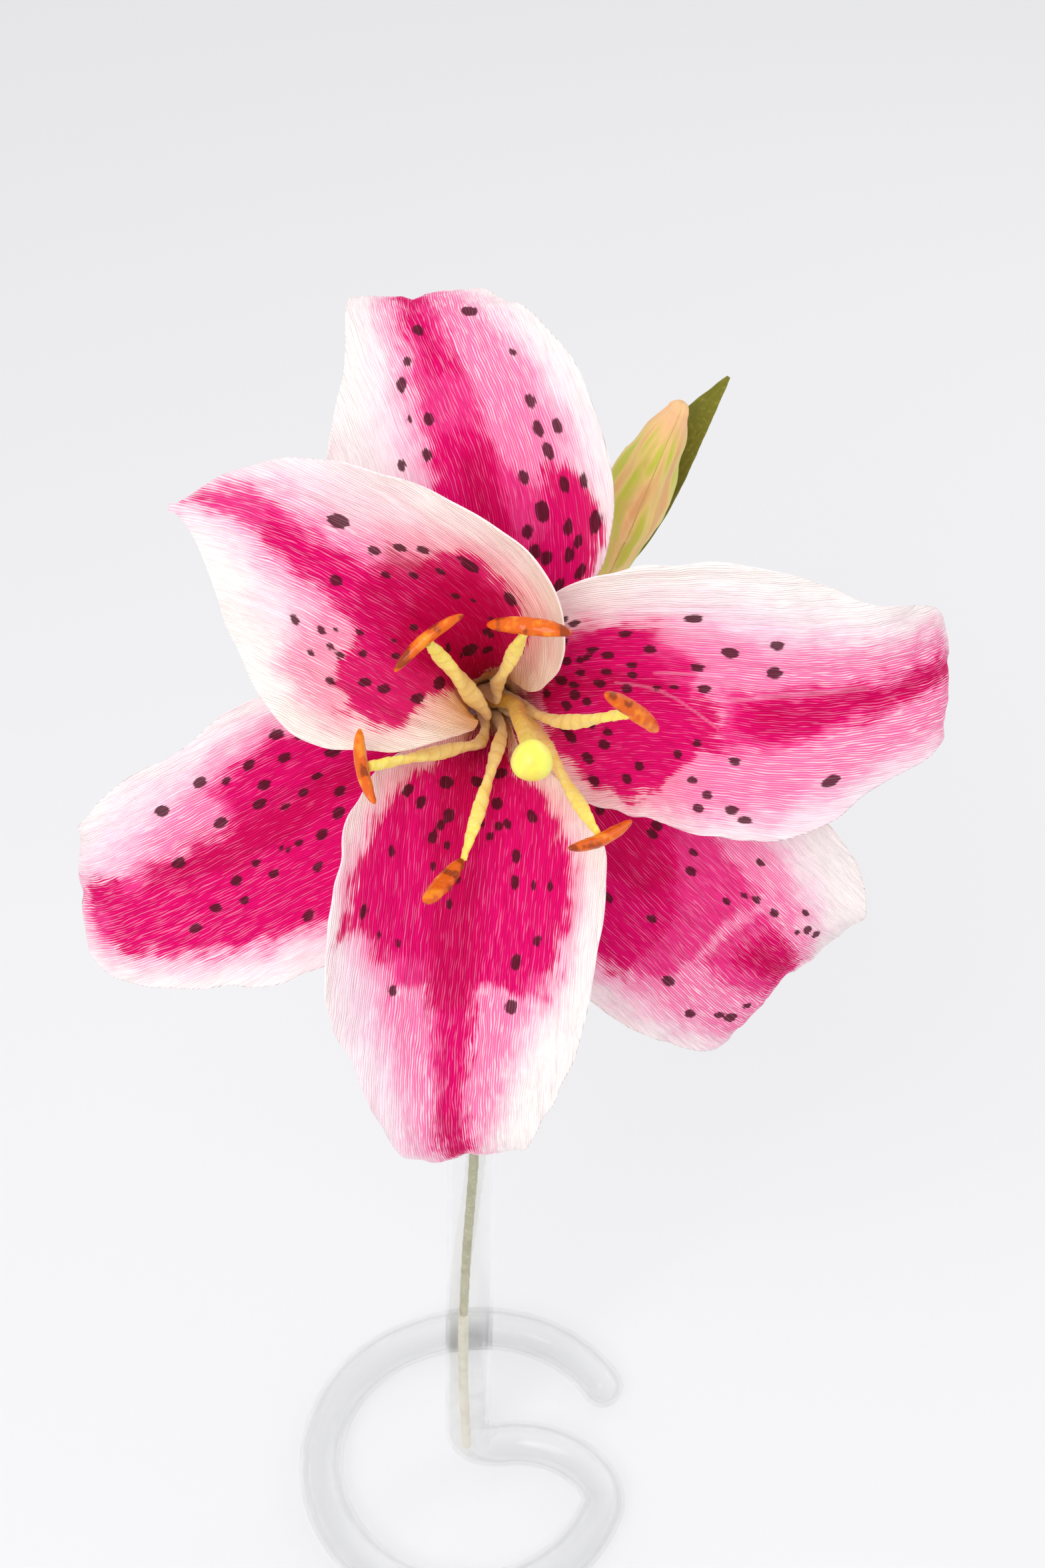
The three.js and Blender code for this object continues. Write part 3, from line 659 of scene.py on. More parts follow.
@dataclass(frozen=True)
class BudCrepe(Finish):
    """Yellow-green crepe rolled tight, tinted with green along its ribs and tan on its ridges."""

    main: str = "#ebd27c"
    green: str = "#b7cb22"
    tan: str = "#df9d68"
    tip: str = "#f3c08e"

    def dress(self, shader: bpy.types.Node, add: Add) -> None:
        """Streaks the colours lengthwise."""
        names = ("along", "around", "seam")
        along, around, seam = (add(ATTRIBUTE, attribute_name=key, out="Fac") for key in names)
        turn = add(MATH, around, 2 * math.pi, operation="MULTIPLY")
        east = add(MATH, turn, operation="COSINE")
        north = add(MATH, turn, operation="SINE")
        place = add("ShaderNodeCombineXYZ", east, north, along)
        streak = add(MAPPING, {"Vector": place, "Scale": (5.5, 5.5, 3.2)})
        streak = add(NOISE, {"Vector": streak, "Scale": 1.0, "Detail": 3.0, "Roughness": 0.6})
        broad = add(MAPPING, {"Vector": place, "Scale": (2.1, 2.1, 2.4)})
        broad = add(NOISE, {"Vector": broad, "Scale": 1.0, "Detail": 1.0})
        colour = self.coats(
            add,
            linear(self.main),
            (self.green, add(RANGE, streak, 0.44, 0.7, 0.0, 0.2)),
            (self.green, add(RANGE, broad, 0.47, 0.62, 0.0, 0.8)),
            (self.tan, add(RANGE, broad, 0.48, 0.34, 0.0, 0.65)),
            (self.tip, add(RANGE, seam, 0.3, 0.1, 0.0, 0.25)),
            (self.tip, add(RANGE, along, 0.84, 0.97, 0.0, 0.85)),
        )
        self.wear(shader, colour, streak, (0.6, 0.4), Roughness=0.68, Sheen_Weight=0.15)


@dataclass(frozen=True)
class BoroGlass(Finish):
    """Drawn borosilicate tube, fire polished at its mouth.

    It is clear and nearly colourless, with faint waves from the drawing.
    """

    tint: str = "#fbfefd"
    solidity: float = 0.18
    wave: float = 18

    def dress(self, shader: bpy.types.Node, add: Add) -> None:
        """Makes it clear, with long shallow draw waves."""
        spot = add(COORDINATES, out="Object")
        waves = add(NOISE, {"Vector": spot, "Scale": 1 / (self.wave * MM), "Detail": 1.0})
        tone = self.coats(add, linear("#ffffff"), (self.tint, waves))
        clear = {"Transmission_Weight": 1.0, "IOR": 1.47, "Roughness": 0.0, "Alpha": self.solidity}
        self.wear(shader, tone, waves, (0.05, 0.3), **clear)


@dataclass(frozen=True)
class WhorlSize:
    """How the feet of one ring of petals stand round the neck."""

    foot: float
    throat: float
    foot_half: float
    throat_half: float
    lean: float


class Whorl(Enum):
    """The two rings of petals: wide ones inside, narrower ones behind them."""

    INNER = WhorlSize(2.3, 5, 1.8, 4, 14)
    OUTER = WhorlSize(3.6, 6.4, 2.8, 5.2, 20)


@dataclass(frozen=True)
class Stroke:
    """One brushed area, between two edges that run along the petal.

    start and stop are shares of the petal's length. minus and plus are the edges, as shares of the
    half width from -1 to 1, at equal steps from start to stop.
    """

    start: float
    stop: float
    minus: tuple[float, ...]
    plus: tuple[float, ...]

    def depth(self, reach: np.ndarray, t: np.ndarray, half_width: np.ndarray, length: float) -> np.ndarray:
        """Measures how far points lie inside the stroke.

        Args:
            reach: Shares of the half width, from -1 to 1.
            t: Shares of the length.
            half_width: The half width at each point.
            length: The petal's length.

        Returns:
            Millimetres inside its nearest edge, below 0 outside.
        """
        run = (t - self.start) / (self.stop - self.start)
        low, high = through(self.minus, run), through(self.plus, run)
        sideways = np.minimum(reach - low, high - reach) * half_width
        lengthwise = np.minimum(t - self.start, self.stop - t) * length
        return np.minimum(sideways, lengthwise)


@dataclass(frozen=True)
class Brushwork:
    """Where one petal was brushed, from the palest ink to the darkest, dotted and creased.

    Each spot is its share of the half width, its share of the length, and its length in
    millimetres. warm is how peach coloured each side is from the throat to the tip; at the throat it
    is partly painted light. cracks are creases, where the ink is broken. On the lower-left outer
    petal, deep also holds the painted shade of a fold.
    """

    wash: tuple[Stroke, ...]
    rose: tuple[Stroke, ...]
    stripe: tuple[Stroke, ...]
    stain: tuple[Stroke, ...]
    deep: tuple[Stroke, ...]
    spots: tuple[tuple[float, float, float], ...]
    warm_plus: tuple[float, ...] = (0.5, 0.1, 0, 0, 0)
    warm_minus: tuple[float, ...] = (0.5, 0.1, 0, 0, 0)
    cracks: tuple[Stroke, ...] = ()


@dataclass(frozen=True)
class Petal:
    """One petal's cut and curl.

    Each list runs from the throat to the tip in equal steps of the length: lean is the midline's
    angle from the flower's axis, sway its turn to the side, plus and minus the half widths on the
    two sides, and the cups how far each side curls up.
    """

    node: str
    whorl: Whorl
    azimuth: float
    length: float
    ruffle: float
    twist: float
    lean: tuple[float, ...]
    sway: tuple[float, ...]
    plus: tuple[float, ...]
    minus: tuple[float, ...]
    cup_plus: tuple[float, ...]
    cup_minus: tuple[float, ...]
    ink: Brushwork


@dataclass(frozen=True)
class PetalPaper:
    """The double crepe sheet that every petal is cut from, and how it is wrinkled.

    The claw is the narrow foot below the throat, and the blade is the rest. far is how deep inside
    or outside an ink its values go, and spot_far the same for spots. spot_half is a spot's half
    width as a share of its length, and least_half the least half width that the ink reckons with.
    """

    claw_depth: float = 12
    claw_cup: float = 50
    crease: float = 8
    thickness: float = 0.34
    tip_rounding: float = 0.1
    tip_closing: float = 0.96
    narrowest: float = 0.6
    ruffle_waves: float = 5
    side_phase: float = 1.3
    claw_rows: int = 12
    blade_rows: int = 132
    half_columns: int = 70
    channel: float = 0.5
    channel_half: float = 1.6
    pleat: float = 0.22
    pleats: int = 3
    wrinkles: Relief = Relief(0.13, 1.1, 16)
    folds: Relief = Relief(0.3, 2.8, 24, 1)
    billows: Relief = Relief(0.35, 9, 22, 2)
    flutter: Relief = Relief(0.35, 3.5, 1, 3)
    snips: Relief = Relief(0.7, 5, 1, 5)
    far: float = 20
    spot_half: float = 0.37
    spot_far: float = 3
    least_half: float = 2

    def axes(self, petal: Petal, t: np.ndarray) -> tuple[np.ndarray, np.ndarray, np.ndarray]:
        """Turns the petal's own axes along its midline.

        Args:
            petal: The petal.
            t: Shares of its length.

        Returns:
            For each t, the direction along the midline, to the plus side, and out of the face.
        """
        azimuth = math.radians(petal.azimuth)
        lean = np.radians(through([petal.whorl.value.lean, *petal.lean], t))[:, None]
        sway = np.radians(through([0, *petal.sway], t))[:, None]
        twist = np.radians(petal.twist * t)[:, None]
        outward, plus, up = level(azimuth), level(azimuth + math.pi / 2), np.array([0, 0, 1])
        ahead = outward * np.sin(lean) + up * np.cos(lean)
        face = -outward * np.cos(lean) + up * np.sin(lean)
        forward = ahead * np.cos(sway) + plus * np.sin(sway)
        aside = -ahead * np.sin(sway) + plus * np.cos(sway)
        cos, sin = np.cos(twist), np.sin(twist)
        return forward, aside * cos + face * sin, face * cos - aside * sin

    def midline(self, petal: Petal, share: np.ndarray, t: np.ndarray) -> np.ndarray:
        """Lays the petal's middle from the neck to the tip.

        Args:
            petal: The petal.
            share: Shares of the claw's length.
            t: Shares of the blade's length.

        Returns:
            A point for each.
        """
        whorl = petal.whorl.value
        outward = level(math.radians(petal.azimuth))
        claw = outward * (whorl.foot + (whorl.throat - whorl.foot) * share)[:, None]
        claw[:, 2] = -self.claw_depth * (1 - share)
        strides = self.axes(petal, (t[:-1] + t[1:]) / 2)[0] * petal.length / self.blade_rows
        blade = outward * whorl.throat + np.vstack([np.zeros(3), np.cumsum(strides, axis=0)])
        return np.vstack([claw, blade])

    def skin(self, petal: Petal, place: Callable[[np.ndarray], np.ndarray], seed: int) -> Skin:
        """Cuts, curls, wrinkles and marks one petal.

        Args:
            petal: The petal.
            place: Moves points from the flower's axes into the frame.
            seed: Fixes its wrinkles.

        Returns:
            The closed sheet, with its grain as UV and the ink's places as values.
        """
        whorl = petal.whorl.value
        share = np.arange(self.claw_rows) / self.claw_rows
        t = np.arange(self.blade_rows + 1) / self.blade_rows
        row_t = np.concatenate([0 * share, t])
        midline = self.midline(petal, share, t)
        aside, face = self.axes(petal, row_t)[1:]

        closing = np.clip((t - 1 + self.tip_rounding) / self.tip_rounding, 0, 1)
        tip = np.sqrt(1 - self.tip_closing * closing**2)
        claw_width = whorl.foot_half + (whorl.throat_half - whorl.foot_half) * share
        crease = np.concatenate([0 * share, through([0] + [self.crease] * 5, t)])[:, None]
        wave = petal.ruffle * ease(row_t, 0.35, 0.6)
        phase = 2 * np.pi * self.ruffle_waves * row_t + 2 * math.radians(petal.azimuth)
        outer = (np.arange(self.half_columns) + 1) / self.half_columns
        inner = (np.arange(self.half_columns) + 0.5) / self.half_columns

        # Each half is curled on its own: the paper's length along a row stays as it was cut.
        halves = []
        for way, widths, cups in ((-1, petal.minus, petal.cup_minus), (1, petal.plus, petal.cup_plus)):
            width = np.maximum(self.narrowest, tip * through([whorl.throat_half, *widths], t))
            snips = self.snips.over(t * petal.length, 0.5 + way + 0 * t, seed) * ease(t, 0.1, 0.3)
            width = np.concatenate([claw_width, np.maximum(self.narrowest, width + snips)])[:, None]
            cup = np.concatenate([self.claw_cup + 0 * share, through([self.claw_cup, *cups], t)])[:, None]
            angle = np.radians(crease + cup * inner)
            stride = width / self.half_columns
            out, up = np.cumsum(np.cos(angle) * stride, axis=1), np.cumsum(np.sin(angle) * stride, axis=1)
            up = up + (wave * np.sin(phase + way * self.side_phase))[:, None] * outer**2
            points = midline[:, None] + way * out[:, :, None] * aside[:, None]
            points = points + up[:, :, None] * face[:, None]
            halves.append((points, way * outer + 0 * out, way * outer * width))
        middle = (midline[:, None], np.zeros((len(midline), 1)), np.zeros((len(midline), 1)))
        rows = zip(halves[0], middle, halves[1])
        points, reach, across = (np.concatenate([low[:, ::-1], mid, high], axis=1) for low, mid, high in rows)
        along = np.concatenate([-self.claw_depth * (1 - share), t * petal.length])
        lengthwise = np.repeat(along[:, None], across.shape[1], axis=1)

        normals = unit(np.cross(np.gradient(points, axis=0), np.gradient(points, axis=1)))
        height = self.relief(across, lengthwise, reach, row_t[:, None], seed)
        values = self.marks(petal, across, reach, row_t)
        sheet = np.stack([across, lengthwise], axis=2)
        return self.closed(place(points + normals * height[:, :, None]), values, sheet)

    def relief(
        self, across: np.ndarray, lengthwise: np.ndarray, reach: np.ndarray, t: np.ndarray, seed: int
    ) -> np.ndarray:
        """Raises the crepe's wrinkles, its longer folds and the channel over the wire.

        Args:
            across: Millimetres from the midline.
            lengthwise: Millimetres from the throat.
            reach: Shares of the half width, from -1 to 1.
            t: Shares of the length, in one column.
            seed: Fixes the wrinkles.

        Returns:
            Heights above the plain sheet.
        """
        wrinkles = self.wrinkles.over(across, lengthwise, seed) + self.folds.over(across, lengthwise, seed)
        billows = self.billows.over(across, lengthwise, seed) * ease(t, 0.1, 0.3)
        channel = -self.channel * np.exp(-((across / self.channel_half) ** 2)) * (1 - 0.75 * t)
        pleats = self.pleat * np.cos(2 * np.pi * self.pleats * reach) * (1 - ease(t, 0.05, 0.3))

        # The shift keeps the two edges from fluttering alike.
        shift = 10.5 * np.sign(reach)
        flutter = self.flutter.over(lengthwise + shift, 0 * across, seed) * np.abs(reach) ** 6
        return (wrinkles + billows + channel + flutter + pleats) * ease(t, 0.0, 0.06)

    def marks(self, petal: Petal, across: np.ndarray, reach: np.ndarray, row_t: np.ndarray) -> dict:
        """Works out how far each point lies inside each ink.

        Args:
            petal: The petal.
            across: Millimetres from the midline.
            reach: Shares of the half width, from -1 to 1.
            row_t: Shares of the length, row by row.

        Returns:
            The values by name.
        """
        ink = petal.ink
        half_width = np.maximum(np.abs(across) / np.maximum(np.abs(reach), 1e-6), self.least_half)
        half_width[:, across.shape[1] // 2] = half_width[:, across.shape[1] // 2 + 1]
        t = row_t[:, None]
        values = {}
        for key in ("wash", "rose", "stripe", "stain", "deep", "cracks"):
            depths = [stroke.depth(reach, t, half_width, petal.length) for stroke in getattr(ink, key)]
            values[key] = np.clip(np.max([0 * reach - self.far, *depths], axis=0), -self.far, self.far)
        outside = np.full(reach.shape, float(self.spot_far))
        for u, along, size in ink.spots:
            column = np.abs(reach[0] - u).argmin()
            row = np.abs(row_t - along).argmin()
            right = (reach - reach[row, column]) * half_width / (self.spot_half * size)
            ahead = (t - along) * petal.length / (0.5 * size)
            outside = np.minimum(outside, (np.hypot(right, ahead) - 1) * size / 2)

        # Warm colour keeps off the middle, apart from the throat, where it is partly the paper's peach and
        # partly painted light that lightens the shaded hollow.
        warm = np.clip(np.where(reach > 0, through(ink.warm_plus, t), through(ink.warm_minus, t)), 0, 1)
        kept = np.maximum(ease(np.abs(reach), 0.0, 0.6), 1 - ease(t, 0.02, 0.12))
        return values | {"spots": -outside, "warm": warm * kept, "dry": ease(t, 0.25, 0.8) + 0 * reach}

    def closed(self, middle: np.ndarray, values: dict, sheet: np.ndarray | None = None) -> Skin:
        """Gives a single layer of points its two faces and its cut edge.

        Args:
            middle: The layer's points, in a grid.
            values: Values on them.
            sheet: The grain's coordinates on them, if the finish reads them.

        Returns:
            The closed sheet, with its edge faces last.
        """
        rows, columns = middle.shape[:2]
        normals = unit(np.cross(np.gradient(middle, axis=0), np.gradient(middle, axis=1)))
        sides = [(middle + way * normals * self.thickness / 2).reshape(-1, 3) for way in (1, -1)]
        count = rows * columns
        faces = grid_faces(rows, columns)
        under = [[count + a, count + d, count + c, count + b] for a, b, c, d in faces]
        index = np.arange(count).reshape(rows, columns)
        rim = np.concatenate([index[0], index[1:, -1], index[-1, -2::-1], index[-2::-1, 0]])
        edge = [[int(a), int(b), count + int(b), count + int(a)] for a, b in zip(rim[:-1], rim[1:])]
        doubled = {key: np.concatenate([value.ravel()] * 2) for key, value in values.items()}
        doubled["front"] = np.repeat([1.0, 0.0], count)
        if sheet is not None:
            sheet = np.concatenate([sheet.reshape(-1, 2)] * 2)
        return Skin(np.concatenate(sides), faces + under + edge, doubled, sheet, flat_from=2 * len(faces))


@dataclass
class Perianth:
    """The six petals: three wide inner ones and three outer ones behind them."""

    seat: Seat
    paper: PetalPaper = field(default_factory=PetalPaper)
    first_seed: int = 40
    seed_step: int = 10
    grain_step: float = 13.0

    def build(self) -> None:
        """Makes each petal in its own ink."""
        for number, petal in enumerate(PETALS):
            material = InkedCrepe(seed=self.grain_step * number).material(f"inked crepe paper {number + 1}")
            skin = self.paper.skin(petal, self.seat.from_flower, self.first_seed + self.seed_step * number)
            skin.to_object(f"paper_{petal.node}", material, "petal_paper", petal.node)


@dataclass(frozen=True)
class Turns:
    """How tape is wound round a wire.

    pitch is how far each turn lies from the last, lift how high its edge stands, crinkle how rough
    the tape is, and size how far apart its bumps are. flatness is how far the section is from round,
    from 0 to 1, and twist the degrees that it turns through in each millimetre.
    """

    pitch: float
    lift: float
    crinkle: float = 0.2
    size: float = 1.2
    flatness: float = 0.0
    twist: float = 0.0


@dataclass
class TapeWinder:
    """Winds stretched paper tape round a wire, with Geometry Nodes.

    The tree sweeps a round section along the carrier's points and lifts each turn's edge over the
    last one, in a spiral.
    """

    sides: int = 20
    step: float = 0.5

    def __post_init__(self) -> None:
        """Builds the tree once for all the wires."""
        tree = bpy.data.node_groups.new("wound tape", "GeometryNodeTree")
        self.tree = tree
        face = tree.interface
        face.new_socket("Geometry", in_out="INPUT", socket_type="NodeSocketGeometry")
        kinds = {"Sides": "Int", "Material": "Material"}
        sizes = ("Sides", "Step", "Pitch", "Lift", "Crinkle", "Crinkle Size", "Flatness", "Twist", "Material")
        self.sockets = {}
        for name in sizes:
            kind = "NodeSocket" + kinds.get(name, "Float")
            self.sockets[name] = face.new_socket(name, in_out="INPUT", socket_type=kind).identifier
        face.new_socket("Geometry", in_out="OUTPUT", socket_type="NodeSocketGeometry")

        add = partial(add_node, tree)
        given = tree.nodes.new("NodeGroupInput").outputs
        curve = add("GeometryNodeMeshToCurve", given["Geometry"])
        curve = add("GeometryNodeResampleCurve", {"Curve": curve, "Length": given["Step"]}, mode="LENGTH")
        place = add("GeometryNodeSplineParameter", out="Length")
        share = place.node.outputs["Factor"]
        tilt = add(MATH, place, given["Twist"], operation="MULTIPLY")
        curve = add("GeometryNodeSetCurveTilt", {"Curve": curve, "Tilt": tilt})
        ring = add("GeometryNodeCurvePrimitiveCircle", {"Resolution": given["Sides"], "Radius": 1.0})
        turning = add("GeometryNodeSplineParameter", out="Factor")
        held = []
        for taken in ((curve, place, share), (ring, turning)):
            capture = tree.nodes.new("GeometryNodeCaptureAttribute")
            for number, value in enumerate(taken):
                if number:
                    capture.capture_items.new("FLOAT", f"kept {number}")
                tree.links.new(value, capture.inputs[number])
            held.extend(capture.outputs[: len(taken)])
        curve, length, share, ring, turn = held

        wide = add(MATH, 1.0, given["Flatness"], operation="ADD")
        flat = add(MATH, 1.0, given["Flatness"], operation="SUBTRACT")
        shape = add("ShaderNodeCombineXYZ", wide, flat, 1.0)
        section = add("GeometryNodeTransform", {"Geometry": ring, "Scale": shape})
        radius = add("GeometryNodeInputNamedAttribute", "radius", data_type="FLOAT")
        settings = {"Curve": curve, "Profile Curve": section, "Scale": radius, "Fill Caps": True}
        mesh = add("GeometryNodeCurveToMesh", settings)

        turns = add(MATH, length, given["Pitch"], operation="DIVIDE")
        turns = add(MATH, turns, turn, operation="ADD")
        wrap = add(MATH, turns, operation="FRACT")
        high = add(MATH, 1.0, wrap, operation="SUBTRACT")
        high = add(MATH, high, given["Lift"], operation="MULTIPLY")
        fineness = add(MATH, 1.0, given["Crinkle Size"], operation="DIVIDE")
        rough = add(NOISE, {"Scale": fineness, "Detail": 2.0})
        rough = add(MATH, rough, 0.5, operation="SUBTRACT")
        high = add(MATH, rough, given["Crinkle"], high, operation="MULTIPLY_ADD")
        normal = add("GeometryNodeInputNormal")
        offset = add("ShaderNodeVectorMath", {0: normal, "Scale": high}, operation="SCALE")
        mesh = add("GeometryNodeSetPosition", {"Geometry": mesh, "Offset": offset})
        for key, value in (("wrap", wrap), ("along", share)):
            mesh = add("GeometryNodeStoreNamedAttribute", {"Geometry": mesh, "Name": key, "Value": value})
        mesh = add("GeometryNodeSetShadeSmooth", {"Geometry": mesh})
        mesh = add("GeometryNodeRealizeInstances", mesh)
        mesh = add("GeometryNodeSetMaterial", {"Geometry": mesh, "Material": given["Material"]})
        end = tree.nodes.new("NodeGroupOutput")
        tree.links.new(mesh, end.inputs[0])

    def wind(
        self,
        name: str,
        line: np.ndarray,
        radii: np.ndarray,
        material: bpy.types.Material,
        slot: str,
        node: str,
        turns: Turns,
    ) -> bpy.types.Object:
        """Winds one wire.

        Args:
            name: The piece's name.
            line: Points along the wire.
            radii: The outer radius at each of them.
            material: The tape's finish.
            slot: The record's slot for it. It is not used.
            node: The CAD node that it replaces.
            turns: How the tape lies.

        Returns:
            The wound piece, as a plain mesh.
        """
        carrier = bpy.data.meshes.new(name)
        edges = [(k, k + 1) for k in range(len(line) - 1)]
        carrier.from_pydata((line * MM).tolist(), edges, [])
        layer = carrier.attributes.new("radius", "FLOAT", "POINT")
        layer.data.foreach_set("value", ((radii - turns.lift) * MM).astype(np.float32))
        piece = bpy.data.objects.new(name, carrier)
        bpy.context.scene.collection.objects.link(piece)
        modifier = piece.modifiers.new("tape", "NODES")
        modifier.node_group = self.tree
        sizes = {
            "Sides": self.sides,
            "Step": self.step * MM,
            "Pitch": turns.pitch * MM,
            "Lift": turns.lift * MM,
            "Crinkle": turns.crinkle * MM,
            "Crinkle Size": turns.size * MM,
            "Flatness": turns.flatness,
            "Twist": math.radians(turns.twist) / MM,
            "Material": material,
        }
        for key, value in sizes.items():
            modifier[self.sockets[key]] = value
        graph = bpy.context.evaluated_depsgraph_get()
        mesh = bpy.data.meshes.new_from_object(piece.evaluated_get(graph), depsgraph=graph)
        piece.modifiers.remove(modifier)
        piece.data = mesh
        return seat(piece, slot, node)


@dataclass
class Stems:
    """The taped stem with its bare lower wire, and the bud's stalk."""

    seat: Seat
    winder: TapeWinder
    stem_radius: float = 1.5
    wire_radius: float = 1.7
    stalk_radius: float = 1.2
    wire: tuple = ((0, 0, 9.5), (-1.4, 0, 45), (-1.8, 0, 78), (-1.8, 0, 90))
    stem: tuple = (
        (-1.8, 0, 90.3), (-1.3, 0, 122), (0.3, 0, 170), (1, 1.5, 230), (1.4, 3.6, 300), (1.8, 3.9, 335)
    )
    stalk: tuple = ((4.4, 4.9, 340), (9, 6, 351), (18, 5.6, 365))
    neck_depth: float = 26.3
    straight: float = 7
    bud_gap: float = 0.6

    def build(self, bud_foot: np.ndarray, bud_way: np.ndarray) -> None:
        """Winds the three.

        Args:
            bud_foot: Where the bud starts.
            bud_way: The way it points there.
        """
        olive = PlainCrepe("#b3ae8a", "#6f7038", "#6d6b40", "#dcd9bd").material("olive stem tape")
        pale = PlainCrepe("#ece7d8", "#dfd9c2", "#c2b99a", "#f8f5ea", turn=0.35).material("pale wire paper")
        axis = self.seat.basis[2]
        neck_foot = THROAT - axis * self.neck_depth
        wire, stem = self.wire, [*self.stem, neck_foot - axis * self.straight, neck_foot]
        stalk = [*self.stalk, bud_foot - bud_way * self.bud_gap]
        wires = (
            (stem, 240, self.stem_radius, "taped_stem", olive, "stem_tape", "stem", Turns(7, 0.22)),
            (wire, 80, self.wire_radius, "papered_wire", pale, "wire_paper", "stem_wire", Turns(4, 0.16)),
            (stalk, 80, self.stalk_radius, "taped_stalk", olive, "stem_tape", "bud_stalk", Turns(5, 0.18)),
        )
        for path, steps, radius, name, *tape in wires:
            line = self.seat.from_tube(smooth_path(path, steps))
            self.winder.wind(name, line, np.full(steps + 1, radius), *tape)


@dataclass
class Neck:
    """The taped cone that holds the petals' feet, with the core between them.

    Each outline lists heights from the throat along the flower's axis, with the radius there.
    """

    seat: Seat
    sides: int = 48
    cone: tuple = ((-26, 1.6), (-21, 2.4), (-14.3, 4.4), (-13.4, 4.5), (-12.5, 4.4))
    core: tuple = ((-12.4, 1.2), (-1.25, 3.8), (-1, 3))
    cone_rows: int = 60
    core_rows: int = 30
    band: float = 3.4
    lift: float = 0.22
    creases: Relief = Relief(0.12, 1, 1.5, 7)
    creases_round: int = 12
    blush_from: float = -14
    blush_to: float = -8

    def build(self) -> None:
        """Turns the cone and winds its bands."""
        spans = ((self.cone, self.cone_rows), (self.core, self.core_rows))
        heights = np.concatenate([np.linspace(part[0][0], part[-1][0], rows) for part, rows in spans])
        stations, widths = np.array(self.cone + self.core, float).T
        height = heights[:, None]
        share = circle(self.sides) / (2 * np.pi)
        turn = (height / self.band + share) % 1
        outside = (np.arange(len(heights)) < self.cone_rows)[:, None]
        rough = self.creases.over(self.creases_round * share, height)
        radii = np.interp(height, stations, widths) + outside * (rough - self.lift * turn)
        line = np.stack([0 * heights, 0 * heights, heights], axis=1)
        points, faces = capped(sweep(line, radii, (1, 0, 0)))
        wrap = np.concatenate([(turn * outside).ravel(), [0, 0]])
        along = np.concatenate([np.repeat(ease(heights, self.blush_from, self.blush_to), self.sides), [0, 1]])
        skin = Skin(self.seat.from_flower(points), faces, {"wrap": wrap, "along": along})
        green = PlainCrepe("#8b9a4c", "#e9b184", "#8a6b3a", "#dcd6a0").material("green neck tape")
        skin.to_object("taped_neck", green, "neck_tape", "neck")


@dataclass(frozen=True)
class Stamen:
    """One filament with its anther.

    azimuth, lean and reach place the anther's middle; turn, pitch and roll say how it lies. thick is
    the filament's radius along its middle, foot the angle where it starts and path what it passes.
    """

    name: str
    azimuth: float
    lean: float
    reach: float
    turn: float
    pitch: float
    roll: float
    thick: float
    foot: float
    path: tuple
    held_by_end: bool = False


